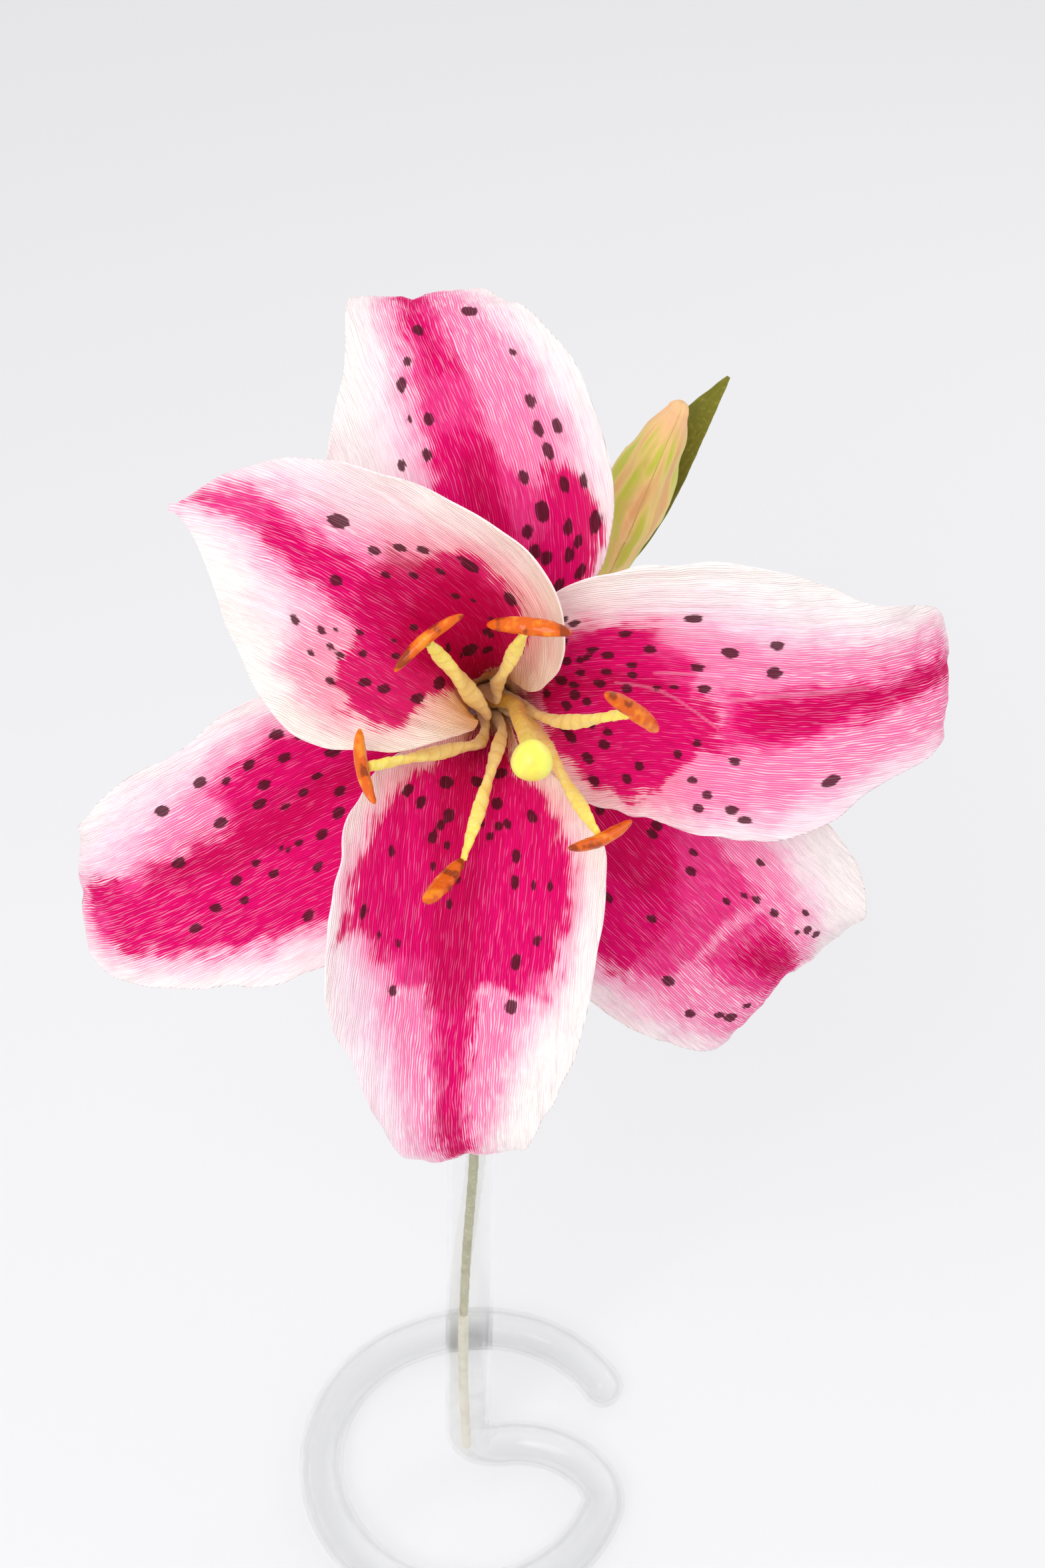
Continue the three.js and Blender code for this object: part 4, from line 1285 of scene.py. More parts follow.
@dataclass
class Stamens:
    """The six filaments of twisted tape, each with its varnished anther.

    half holds the anther's half length, half width and half depth, and radii the filament's radius
    at its foot, above it and at its end.
    """

    seat: Seat
    winder: TapeWinder
    half: tuple[float, float, float] = (8.5, 1.8, 1.25)
    bulge: float = 1.0
    foot_height: float = -0.6
    upright: float = 1.5
    ring: float = 3.1
    radii: tuple[float, float, float] = (0.9, 0.95, 0.75)
    gap: float = 0.3
    steps: int = 110
    rows: int = 72
    sides: int = 40
    end_angle: float = 0.03
    bluntness: float = 2.5
    groove: float = 0.22
    groove_half: float = 0.28
    dabs: Relief = Relief(0.16, 1, 1)
    beads: Relief = Relief(0.08, 1, 1, 1)
    knots: Relief = Relief(0.06, 1, 1)
    wound: float = 1.12
    swell: float = 0.22
    foot_swell: float = 0.3
    turns: Turns = Turns(4.2, 0.2, 0.22, 1.8, 0.24, 7)
    first_seed: int = 300
    seed_step: int = 5

    def axes(self, stamen: Stamen) -> tuple[np.ndarray, ...]:
        """Finds where an anther lies.

        Args:
            stamen: The stamen.

        Returns:
            Its middle, and the directions of its length, its width, its back and its filament's end.
        """
        angles = (stamen.azimuth, stamen.lean, stamen.turn, stamen.pitch, stamen.roll)
        azimuth, lean, turn, pitch, roll = np.radians(angles)
        outward = level(azimuth)
        middle = stamen.reach * (outward * math.sin(lean) + np.array([0, 0, math.cos(lean)]))
        length = math.cos(pitch) * level(turn) + np.array([0, 0, math.sin(pitch)])
        arrival = unit(middle - np.array(stamen.path[-1], float))
        back = unit(outward - length * (outward @ length))
        back = back * math.cos(roll) + np.cross(length, back) * math.sin(roll)
        return middle, length, np.cross(back, length), back, arrival

    def filament(self, stamen: Stamen, tape: bpy.types.Material) -> None:
        """Winds one filament, from the neck to just short of its anther."""
        middle, length, width, back, arrival = self.axes(stamen)
        way = length if stamen.held_by_end else arrival
        inside = np.array([way @ length, way @ width, way @ back])
        surface = 1 / np.linalg.norm(inside / np.array(self.half))
        contact = (way @ length) * surface / self.half[0]
        joint = middle + back * self.bulge * (1 - contact**2) - way * (surface + self.gap + self.radii[2] / 3)
        foot = self.ring * level(math.radians(stamen.foot)) + (0, 0, self.foot_height)
        line = smooth_path([foot, foot + (0, 0, self.upright), *stamen.path, joint], self.steps)
        share = np.linspace(0, 1, self.steps + 1)
        radii = through([*self.radii[:2], stamen.thick, stamen.thick, self.radii[2]], share)
        swell = self.swell * ease(share, 0.05, 0.25) * (1 - 0.5 * ease(share, 0.85, 1))
        swell = swell + self.foot_swell * (1 - ease(share, 0.0, 0.2))
        knots = self.knots.over(10 * share, 0.5 + 0 * share, int(stamen.azimuth))
        radii = radii * (self.wound + swell + knots)
        name = f"filament_{stamen.name}"
        place = self.seat.from_flower(line)
        self.winder.wind(f"taped_{name}", place, radii, tape, "filament_tape", name, self.turns)

    def anther(self, stamen: Stamen, paint: bpy.types.Material, seed: int) -> None:
        """Moulds one anther: a bent pod, grooved along its inner side and lumpy with paint."""
        middle, length, width, back, _ = self.axes(stamen)
        x = -np.cos(np.linspace(self.end_angle, math.pi - self.end_angle, self.rows))[:, None]
        angle = circle(self.sides)
        body = np.sqrt(1 - np.abs(x) ** self.bluntness)
        lumps = self.dabs.over(4.5 * x + 20, 1.3 * angle, seed) * np.sin(angle / 2) ** 2
        lumps = lumps + self.beads.over(9 * x, 3 * np.cos(angle) + 9, seed)
        groove = self.groove * np.exp(-(((angle - 1.5 * np.pi) / self.groove_half) ** 2)) * (1 - x**4)
        size = 1 + (lumps - groove) / self.half[2] * 0.8
        across = np.cos(angle) * body * self.half[1] * size
        out = np.sin(angle) * body * self.half[2] * size + self.bulge * (1 - x**2)
        inside = np.stack([x * self.half[0] + 0 * angle, across, out], axis=2)
        points, faces = capped(middle + inside @ np.stack([length, width, back]))
        skin = Skin(self.seat.from_flower(points), [face[::-1] for face in faces])
        name = f"anther_{stamen.name}"
        skin.to_object(f"varnished_{name}", paint, "anther_varnish", name)

    def build(self) -> None:
        """Makes all six."""
        tape = PlainCrepe("#ffdcb4", "#fff460", "#fbd25c", "#fffdd4", grain=0.7, mottle=4, turn=0.3)
        tape = tape.material("twisted filament tape")
        paint = VarnishedPaint().material("varnished orange paint")
        for number, stamen in enumerate(STAMENS):
            self.filament(stamen, tape)
            self.anther(stamen, paint, self.first_seed + self.seed_step * number)


@dataclass
class Pistil:
    """The style, thickly painted, and the ball of the stigma at its end."""

    seat: Seat
    path: tuple = (
        (0, 0, -0.4), (0.2, 0.1, 1.5), (2.2, 1, 7), (4.8, 1.2, 14), (5.4, 0.2, 24), (6.8, -0.5, 44),
        (7.3, -0.4, 71.6),
    )
    foot_radius: float = 1.5
    top_radius: float = 1.9
    stigma: float = 3.9
    lobe: float = 0.03
    sides: int = 48
    steps: int = 400
    ball_rows: int = 34
    wrinkles: Relief = Relief(0.14, 1, 1, 81)
    dents: Relief = Relief(0.10, 1, 1, 82)

    def build(self) -> None:
        """Sweeps the style and the ball in one skin."""
        line = smooth_path(self.path, self.steps)
        length = np.linalg.norm(np.diff(line, axis=0), axis=1).sum()
        kept = int(self.steps * (1 - self.stigma * 0.9 / length)) + 1
        share = (np.arange(kept) / self.steps)[:, None]
        around = circle(self.sides)
        rough = self.wrinkles.over(46 * share, 2 * np.cos(around) + 9)
        rough = rough + self.dents.over(12 * share, 12 * around / (2 * np.pi))
        style = self.foot_radius + (self.top_radius - self.foot_radius) * share + rough
        centres, shrink = dome(line, self.stigma, -46, 86, self.ball_rows)
        ball = self.stigma * shrink * (1 + self.lobe * np.cos(3 * around))
        rings = sweep(np.vstack([line[:kept], centres]), np.vstack([style, ball]), (0, 1, 0))
        points, faces = capped(rings)
        run = np.concatenate([np.linspace(0, 0.8, kept), np.ones(self.ball_rows)])
        along = np.concatenate([np.repeat(run, self.sides), [0, 1]])
        skin = Skin(self.seat.from_flower(points), faces, {"along": along})
        sizes = {"grain": 2.5, "mottle": 5, "depth": 0.2, "roughness": 0.4}
        paint = PlainCrepe("#ffcb48", "#efef60", "#eeb02c", "#fff8a8", **sizes).material("painted paper pulp")
        skin.to_object("painted_pistil", paint, "pistil_paint", "pistil")


@dataclass
class Bud:
    """The closed bud: three crepe petals rolled round a core.

    radii run from its foot to its tip. Each petal's edge laps over the next in a wandering seam.
    """

    seat: Seat
    path: tuple = ((25.5, 5, 379), (30.8, 5, 398.5), (35, 5, 413.4), (39.4, 5, 426))
    radii: tuple = (1.9, 4.2, 5.8, 6.7, 7, 6.6, 5.6, 4.3, 2.4)
    lobe_depth: float = 0.08
    flap: float = 0.7
    drift: float = 0.25
    wobbles: tuple = ((0.05, 26), (0.03, 61))
    rows: int = 150
    sides: int = 150
    tip_rows: int = 14
    lumps: Relief = Relief(0.4, 1, 1, 93)
    grain: Relief = Relief(0.09, 1, 1, 91)
    creases: Relief = Relief(0.15, 1, 1, 92)

    def build(self) -> tuple[np.ndarray, np.ndarray]:
        """Rolls the bud.

        Returns:
            Its foot and the way it points there.
        """
        line = smooth_path(self.path, self.rows)
        share = np.linspace(0, 1, self.rows + 1)[:, None]
        angles = circle(self.sides)
        turn = angles / (2 * np.pi)
        lobes = 1 + self.lobe_depth * np.sin(np.pi * share) * np.cos(3 * angles)
        radii = through(self.radii, share) * lobes
        cap, shrink = dome(line, radii[-1].mean(), 8, 84, self.tip_rows)
        radii = np.vstack([radii, radii[-1] * shrink])
        run = np.vstack([share, np.ones((self.tip_rows, 1))])
        wander = self.drift * run + sum(size * np.sin(rate * run) for size, rate in self.wobbles)
        lap = (3 * turn + 0.5 + wander) % 1
        flap = self.flap * ease(lap, 0.0, 0.5) * (1 - ease(lap, 0.5, 0.56)) * np.sin(np.pi * run)
        east, north = 2 * np.cos(angles) + 9, 2 * np.sin(angles) + 9
        lumps = self.lumps.over(east, 9 * run) + self.lumps.over(north, 7 * run, 1)
        grain = self.grain.over(64 * turn, 6 * run) + self.creases.over(4 * angles, 5 * run)
        radii = radii + (grain + flap + lumps) * ease(radii.mean(1), 0.8, 3.0)[:, None]
        way = unit(line[1] - line[0])
        points, faces = capped(sweep(np.vstack([line, cap]), radii, np.cross([1, 0, 0], way)))
        values = {}
        for key, value, ends in (
            ("along", run, (0, 1)),
            ("seam", np.abs(lap - 0.5) * 2, (1, 1)),
            ("around", turn, (0, 0)),
        ):
            values[key] = np.concatenate([np.broadcast_to(value, radii.shape).ravel(), ends])
        skin = Skin(self.seat.from_tube(points), faces, values)
        skin.to_object("paper_bud", BudCrepe().material("rolled bud crepe"), "bud_paper", "bud")
        return line[0], way


@dataclass
class Leaf:
    """The dark leaf, folded a little along its middle."""

    seat: Seat
    path: tuple = (
        (1.6, 6.5, 328), (8.5, 9.5, 350), (18.7, 13, 373), (29.5, 14, 391.5), (39.6, 14, 410.3),
        (50.2, 14, 429.2),
    )
    widths: tuple = (1.3, 2.4, 4.3, 6.6, 8.2, 8.3, 6.8, 3.8, 0.4)
    facing: tuple = (0.1, -0.8, 0.6)
    crease: float = 14
    rows: int = 160
    half_columns: int = 24
    thickness: float = 0.4
    length: float = 118
    vein: float = 0.07
    vein_gap: float = 1.3
    crinkle: Relief = Relief(0.08, 0.9, 8, 95)
    waves: Relief = Relief(0.35, 6, 15, 96)

    def build(self) -> None:
        """Cuts, folds and veins the leaf."""
        line = smooth_path(self.path, self.rows)
        tangents = unit(np.gradient(line, axis=0))
        facing = np.array(self.facing)
        face = unit(facing - tangents * (tangents @ facing)[:, None])
        aside = np.cross(face, tangents)
        share = np.arange(-self.half_columns, self.half_columns + 1) / self.half_columns
        t = np.linspace(0, 1, self.rows + 1)[:, None]
        across = share * through(self.widths, t)
        up = np.abs(across) * math.sin(math.radians(self.crease))
        up = up + self.vein * np.cos(2 * np.pi * across / self.vein_gap)
        for relief in (self.crinkle, self.waves):
            up = up + relief.over(across, t * self.length)
        grid = line[:, None] + across[:, :, None] * aside[:, None] + up[:, :, None] * face[:, None]
        paper = PetalPaper(thickness=self.thickness)
        skin = paper.closed(self.seat.from_tube(grid), {"along": t + 0 * across})
        green = PlainCrepe("#85832c", "#71730f", "#565a08", "#9a9a3c", grain=1.1, mottle=9, roughness=0.62)
        skin.to_object("paper_leaf", green.material("waxed olive crepe"), "leaf_paper", "leaf")


@dataclass
class TubeVase:
    """The glass tube: upright, bent over at its foot and run on as a flat ring.

    The angles are seen from above. lead_out and lead_in are the handles of the curve that joins the
    bend to the ring, and the ring flares outwards from flare_from on.
    """

    seat: Seat
    radius: float = 7.5
    wall: float = 1.3
    ground: float = 0.4
    bend: float = 13
    bend_gap: float = 4
    heading: float = 10
    lip: float = 1.2
    ring_centre: tuple[float, float] = (0, -4)
    ring_radius: float = 49
    ring_start: float = -20
    ring_end: float = -327
    flare_from: float = -240
    flare: float = 6
    lead_out: float = 20
    lead_in: float = 12
    sides: int = 56
    upright_rows: int = 24
    bend_rows: int = 25
    ring_rows: int = 150
    end_rows: int = 14
    lip_rows: int = 9

    def ring_point(self, degrees: np.ndarray) -> np.ndarray:
        """Gives points of the ring, seen from above."""
        radius = self.ring_radius + ease(-degrees, -self.flare_from, -self.ring_end) * self.flare
        angle = np.radians(degrees)
        around = np.stack([np.cos(angle) * radius, np.sin(angle) * radius], axis=-1)
        return around + np.array(self.ring_centre)

    def line(self) -> np.ndarray:
        """Lays the tube's middle line from its mouth to its closed end."""
        height = self.radius - self.ground
        way = level(math.radians(self.heading))
        angle = np.linspace(0, math.pi / 2, self.bend_rows)[:, None]
        up = np.array([0, 0, 1])
        bend = self.bend * (1 - np.cos(angle)) * way + (height + self.bend * (1 - np.sin(angle))) * up
        onto = self.ring_point(np.array(self.ring_start, float))
        arrival = level(math.radians(self.ring_start - 90))[:2]
        way = way[:2]
        a, b, c, d = way * self.bend, way * (self.bend + self.lead_out), onto - arrival * self.lead_in, onto
        f = np.linspace(0, 1, self.bend_rows)[1:-1, None]
        lead = (1 - f) ** 3 * a + 3 * (1 - f) ** 2 * f * b + 3 * (1 - f) * f**2 * c + f**3 * d
        ring = self.ring_point(np.linspace(self.ring_start, self.ring_end, self.ring_rows))
        flat = np.vstack([lead, ring])
        flat = np.hstack([flat, np.full((len(flat), 1), height)])
        top, low = self.seat.mouth_height - self.lip, bend[0, 2] + self.bend_gap
        return np.vstack([np.linspace(top, low, self.upright_rows)[:, None] * up, bend, flat])

    def wall_skin(self, line: np.ndarray, radius: float, start: tuple) -> np.ndarray:
        """Sweeps one side of the wall, down to its rounded end.

        Args:
            line: The tube's middle line.
            radius: The side's distance from it.
            start: Where each ring's first point lies.

        Returns:
            The rings of points.
        """
        end, shrink = dome(line, radius, 7, 86, self.end_rows)
        radii = radius * np.vstack([np.ones((len(line), 1)), shrink])
        return sweep(np.vstack([line, end]), np.repeat(radii, self.sides, axis=1), start)

    def build(self) -> None:
        """Draws the outside, the bore and the fire-polished lip as one closed skin."""
        line = self.line()
        start = (0.0, 1.0, 0.0)
        outer = self.wall_skin(line, self.radius, start)
        inner = self.wall_skin(line, self.radius - self.wall, start)
        outer[:, :, 2] = np.maximum(outer[:, :, 2], 0)
        turns = np.linspace(0, math.pi, self.lip_rows)[1:-1]
        lip_radii = self.radius - self.wall / 2 + np.cos(turns) * self.wall / 2
        lip_line = np.stack([0 * turns, 0 * turns, line[0, 2] + self.lip * np.sin(turns)], axis=1)
        spokes = sweep(line[:2], np.ones((2, self.sides)), start)[0] - line[0]
        lip = lip_line[:, None] + spokes * lip_radii[:, None, None]
        points, faces = capped(np.vstack([outer[::-1], lip, inner]))
        skin = Skin(self.seat.from_tube(points), [face[::-1] for face in faces])
        skin.to_object("glass_tube", BoroGlass().material("borosilicate glass"), "glass", "glass_vase")


@dataclass
class Studio:
    """The pale floor, the soft lights and the camera where the photograph was taken.

    Places are in metres. Each lamp has its place, its width and its power.
    """

    position: tuple[float, float, float] = (0.0039061, -0.3512292, 0.684)
    pitch: float = 43.7
    roll: float = 2.3
    lens: float = 50
    sensor: float = 36
    floor_half: float = 4
    floor_drop: float = 0.0002
    fill: float = 0.86
    aim: tuple[float, float, float] = (0, 0, 0.35)
    lamps: tuple = (
        ("key", (-0.32, -0.8, 1.22), 0.7, 6.5),
        ("rim", (0.8, 0.7, 1.0), 0.8, 2.0),
    )

    def build(self) -> None:
        """Sets them all up."""
        bpy.context.scene.view_settings.view_transform = "Standard"
        self.floor()
        self.lights()
        self.camera()

    def floor(self) -> None:
        """Lays a plain pale floor."""
        mesh = bpy.data.meshes.new("floor")
        corners = ((-1, -1), (1, -1), (1, 1), (-1, 1))
        places = [(x * self.floor_half, y * self.floor_half, -self.floor_drop) for x, y in corners]
        mesh.from_pydata(places, [], [(0, 1, 2, 3)])
        material = bpy.data.materials.new("white studio board")
        material.use_nodes = True
        shader = material.node_tree.nodes["Principled BSDF"]
        shader.inputs["Base Color"].default_value = linear("#ebebed")
        shader.inputs["Roughness"].default_value = 0.8
        shader.inputs["Specular IOR Level"].default_value = 0.1
        mesh.materials.append(material)
        floor = bpy.data.objects.new("floor", mesh)
        bpy.context.scene.collection.objects.link(floor)

    def lights(self) -> None:
        """Hangs the soft lamps and fills the rest from all round."""
        world = bpy.data.worlds.new("studio")
        bpy.context.scene.world = world
        world.use_nodes = True
        world.node_tree.nodes["Background"].inputs[0].default_value = (1, 1, 1, 1)
        world.node_tree.nodes["Background"].inputs[1].default_value = self.fill
        for name, place, size, power in self.lamps:
            lamp = bpy.data.lights.new(name, "AREA")
            lamp.size = size
            lamp.energy = power
            holder = bpy.data.objects.new(name, lamp)
            holder.location = place
            way = Vector(self.aim) - Vector(place)
            holder.rotation_euler = way.to_track_quat("-Z", "Y").to_euler()
            bpy.context.scene.collection.objects.link(holder)

    def camera(self) -> None:
        """Puts the camera where the photograph was taken."""
        c, s = math.cos(math.radians(self.roll)), math.sin(math.radians(self.roll))
        cos_p, sin_p = math.cos(math.radians(self.pitch)), math.sin(math.radians(self.pitch))
        right = (c, s * sin_p, s * cos_p)
        up = (-s, c * sin_p, c * cos_p)
        back = (0, -cos_p, sin_p)
        lens = bpy.data.cameras.new("camera")
        lens.lens = self.lens
        lens.sensor_width = self.sensor
        lens.sensor_fit = "AUTO"
        holder = bpy.data.objects.new("camera", lens)
        rows = [(*axis, place) for axis, place in zip(zip(right, up, back), self.position)]
        holder.matrix_world = Matrix([*rows, (0, 0, 0, 1)])
        bpy.context.scene.collection.objects.link(holder)
        bpy.context.scene.camera = holder


FRONT_INK = Brushwork(
    wash=(Stroke(-0.1, 1.1, (-1.0, -0.95, -0.95, -0.9, -1.0, -1.1), (0.8, 0.85, 0.85, 0.6, 0.35, 0.4)),),
    rose=(
        Stroke(0.0, 0.62, (-0.8, -0.8, -0.78, -0.8, -0.88, -0.55), (0.65, 0.66, 0.7, 0.74, 0.74, 0.66)),
        Stroke(0.6, 1.1, (-0.6, -0.58, -0.64, -0.8), (0.52, 0.44, 0.34, 0.24)),
    ),
    stripe=(
        Stroke(0.4, 1.1, (-0.35, -0.3, -0.26, -0.3, -0.33, -0.3), (0.3, 0.25, 0.06, 0.08, 0.12, 0.14)),
        Stroke(0.1, 0.61, (-0.4, -0.66, -0.78, -0.5), (0.55, 0.62, 0.68, 0.6)),
    ),
    stain=(
        Stroke(0.06, 0.535, (-0.3, -0.5, -0.68, -0.76, -0.84, -0.9), (0.55, 0.58, 0.64, 0.67, 0.69, 0.6)),
        Stroke(0.4, 0.565, (-0.68, -0.64), (0.68, 0.66)),
        Stroke(0.4, 0.605, (-0.3, -0.3), (0.6, 0.46)),
        Stroke(0.4, 0.645, (-0.25, -0.24), (0.14, 0.1)),
        Stroke(0.63, 1.1, (-0.16, -0.2, -0.26, -0.3, -0.3), (0.08, 0.06, 0.07, 0.1, 0.12)),
    ),
    deep=(
        Stroke(0.05, 0.645, (-0.4, -0.46, -0.4, -0.28, -0.22), (-0.05, -0.08, -0.06, 0.04, 0.02)),
        Stroke(0.84, 1.1, (-0.24, -0.26), (-0.1, -0.06)),
        Stroke(0.03, 0.2, (-0.5, -0.4), (0.6, 0.5)),
    ),
    spots=(
        (-0.67, 0.318, 3.2), (-0.53, 0.33, 3), (-0.41, 0.277, 4.2), (-0.36, 0.382, 3), (-0.33, 0.36, 2.6),
        (-0.28, 0.34, 3.4), (-0.24, 0.39, 2), (-0.11, 0.25, 4), (-0.14, 0.44, 2), (-0.31, 0.427, 1.6),
        (-0.62, 0.417, 2.4), (-0.74, 0.502, 2.6), (-0.61, 0.532, 1.6), (-0.49, 0.542, 1.6),
        (-0.52, 0.612, 2.4), (-0.17, 0.48, 2), (-0.1, 0.37, 1.6), (-0.03, 0.34, 2), (0.06, 0.362, 2),
        (0.13, 0.344, 2.4), (0.21, 0.34, 2.4), (0.13, 0.3, 3.4), (0.24, 0.222, 4.2), (0.27, 0.436, 2.8),
        (0.27, 0.394, 2.8), (0.41, 0.439, 1.8), (0.54, 0.44, 2), (0.45, 0.33, 3), (0.5, 0.519, 2.2),
        (0.36, 0.556, 3.2), (0.37, 0.63, 3.4),
    ),
    warm_plus=(1.0, 0.4, 0, 0, 0),
    warm_minus=(1.0, 0.4, 0, 0, 0),
)

LEFT_INK = Brushwork(
    wash=(
        Stroke(-0.1, 0.8, (-0.5, -0.6, -0.8, -0.9, -0.9), (0.6, 0.75, 0.85, 0.8, 0.55)),
        Stroke(0.7, 1.1, (-0.9, -0.95, -1.1), (0.6, 0.3, 0.1)),
    ),
    rose=(
        Stroke(0.05, 0.68, (-0.5, -0.68, -0.76, -0.7, -0.35), (0.3, 0.5, 0.74, 0.84, 0.7)),
        Stroke(0.6, 0.98, (-0.3, -0.35, -0.6, -0.9), (0.35, 0.3, 0.1, -0.4)),
    ),
    stripe=(
        Stroke(0.5, 0.97, (-0.3, -0.16, -0.1, -0.28, -0.56, -0.85), (0.36, 0.26, 0.2, 0.14, -0.06, -0.45)),
    ),
    stain=(
        Stroke(0.08, 0.54, (-0.4, -0.52, -0.58, -0.56, -0.62, -0.52), (0.1, 0.22, 0.36, 0.56, 0.82, 0.76)),
        Stroke(0.42, 0.575, (-0.2, -0.15), (0.8, 0.62)),
        Stroke(0.5, 0.82, (-0.2, -0.1, -0.06, -0.2), (0.34, 0.24, 0.16, 0.08)),
    ),
    deep=(Stroke(0.1, 0.6, (-0.5, -0.46, -0.5, -0.3), (0.0, 0.16, 0.36, 0.16)),),
    spots=(
        (-0.36, 0.702, 4), (-0.23, 0.622, 2.6), (-0.36, 0.588, 2.4), (-0.1, 0.58, 2), (-0.43, 0.556, 2.2),
        (-0.2, 0.536, 2), (-0.35, 0.508, 2), (-0.51, 0.485, 3.2), (-0.53, 0.504, 1.4), (-0.24, 0.453, 2),
        (-0.3, 0.427, 1.4), (-0.54, 0.406, 3), (-0.33, 0.37, 1.6), (-0.25, 0.336, 2.6), (-0.29, 0.32, 2),
        (-0.08, 0.294, 5), (-0.25, 0.268, 3.2), (0.1, 0.656, 2.8), (0.28, 0.57, 1.6), (0.34, 0.613, 1.4),
        (0.4, 0.637, 2), (0.46, 0.694, 2.2), (0.44, 0.607, 1.8), (0.54, 0.636, 1.8), (0.45, 0.582, 2),
        (0.62, 0.577, 2.2), (0.39, 0.544, 2.2), (0.54, 0.515, 2.6), (0.55, 0.475, 2.8), (0.58, 0.397, 3.2),
        (0.42, 0.348, 3.8), (0.24, 0.5, 1.4), (0.12, 0.476, 2), (0.33, 0.48, 2), (0.09, 0.364, 2.4),
    ),
    warm_plus=(1.4, 1.05, 0.55, 0.2, 0.08, 0.03),
    warm_minus=(1.3, 0.7, 0.5, 0.28, 0.08, 0),
)

RIGHT_INK = Brushwork(
    wash=(Stroke(-0.1, 1.1, (-1.0, -0.98, -0.97, -0.98, -1.05, -1.1), (0.6, 0.7, 0.72, 0.66, 0.72, 0.9)),),
    rose=(
        Stroke(0.05, 1.1, (-0.7, -0.9, -0.9, -0.8, -0.7, -0.8, -0.85), (0.3, 0.6, 0.5, 0.4, 0.5, 0.62, 0.7)),
    ),
    stripe=(
        Stroke(0.5, 1.1, (-0.42, -0.34, -0.26, -0.16, -0.06, 0.0), (0.02, 0.08, 0.16, 0.24, 0.32, 0.38)),
        Stroke(0.15, 0.46, (-0.6, -0.8, -0.75, -0.5), (0.3, 0.56, 0.5, 0.2)),
    ),
    stain=(
        Stroke(0.12, 0.45, (-0.6, -0.8, -0.86, -0.8, -0.5), (0.1, 0.2, 0.2, 0.1, 0.02)),
        Stroke(0.3, 0.505, (-0.5, -0.4), (0.05, -0.08)),
        Stroke(0.2, 0.385, (-0.1, -0.1), (0.3, 0.54, 0.48)),
        Stroke(0.3, 0.44, (0.06, 0.1), (0.22, 0.18)),
        Stroke(0.525, 1.1, (-0.32, -0.26, -0.19, -0.11, -0.03, 0.05), (-0.04, 0.01, 0.08, 0.14, 0.21, 0.29)),
    ),
    deep=(
        Stroke(0.03, 0.4, (-0.2, -0.16, -0.12, -0.05), (0.1, 0.16, 0.14, 0.0)),
        Stroke(0.56, 1.1, (-0.22, -0.15, -0.08, 0.0, 0.08), (-0.08, 0.0, 0.06, 0.14, 0.26)),
    ),
    spots=(
        (-0.67, 0.687, 3.4), (-0.85, 0.562, 2.6), (-0.8, 0.539, 2.6), (-0.82, 0.48, 2.6),
        (-0.71, 0.494, 2.6), (-0.63, 0.462, 2.6), (-0.46, 0.535, 2.4), (-0.37, 0.464, 2.4),
        (-0.47, 0.427, 2.4), (-0.61, 0.335, 2.8), (-0.72, 0.3, 2.8), (-0.47, 0.256, 3), (-0.37, 0.268, 2.6),
        (-0.78, 0.222, 3), (-0.6, 0.214, 3.2), (-0.44, 0.18, 3.4), (-0.37, 0.164, 2.8), (-0.32, 0.232, 2.4),
        (0.02, 0.468, 2.8), (0.17, 0.455, 2.8), (0.31, 0.506, 3.4), (0.2, 0.585, 3.4), (0.43, 0.583, 3),
        (0.55, 0.448, 3), (0.3, 0.38, 2.6), (0.44, 0.347, 2.4), (0.08, 0.34, 2.4), (0.17, 0.344, 2.4),
        (0.27, 0.306, 2.8), (0.35, 0.282, 2.6), (0.28, 0.267, 1.8), (0.13, 0.292, 2.6), (-0.03, 0.323, 2.6),
        (-0.02, 0.382, 1.8), (0.0, 0.414, 2), (0.03, 0.27, 3), (0.16, 0.24, 2.4), (0.27, 0.25, 2),
        (0.5, 0.24, 2.6), (0.64, 0.277, 2.6), (0.71, 0.266, 2), (-0.11, 0.235, 2.6), (-0.06, 0.21, 3.2),
        (0.04, 0.214, 2.6), (0.12, 0.19, 3.4), (-0.14, 0.184, 3), (-0.02, 0.136, 2.8), (0.3, 0.223, 2.6),
    ),
    warm_plus=(0.9, 0.25, 0, 0, 0),
    warm_minus=(1.0, 0.35, 0, 0, 0),
    cracks=(
        Stroke(0.5, 0.76, (-0.07, 0.02, 0.06), (-0.05, 0.035, 0.07)),
        Stroke(0.56, 0.8, (-0.01, 0.05, 0.08, 0.13), (0.005, 0.065, 0.095, 0.14)),
        Stroke(0.3, 0.5, (0.02, -0.06, -0.26), (0.035, -0.045, -0.24)),
        Stroke(0.38, 0.5, (0.1, 0.12), (0.115, 0.135)),
    ),
)

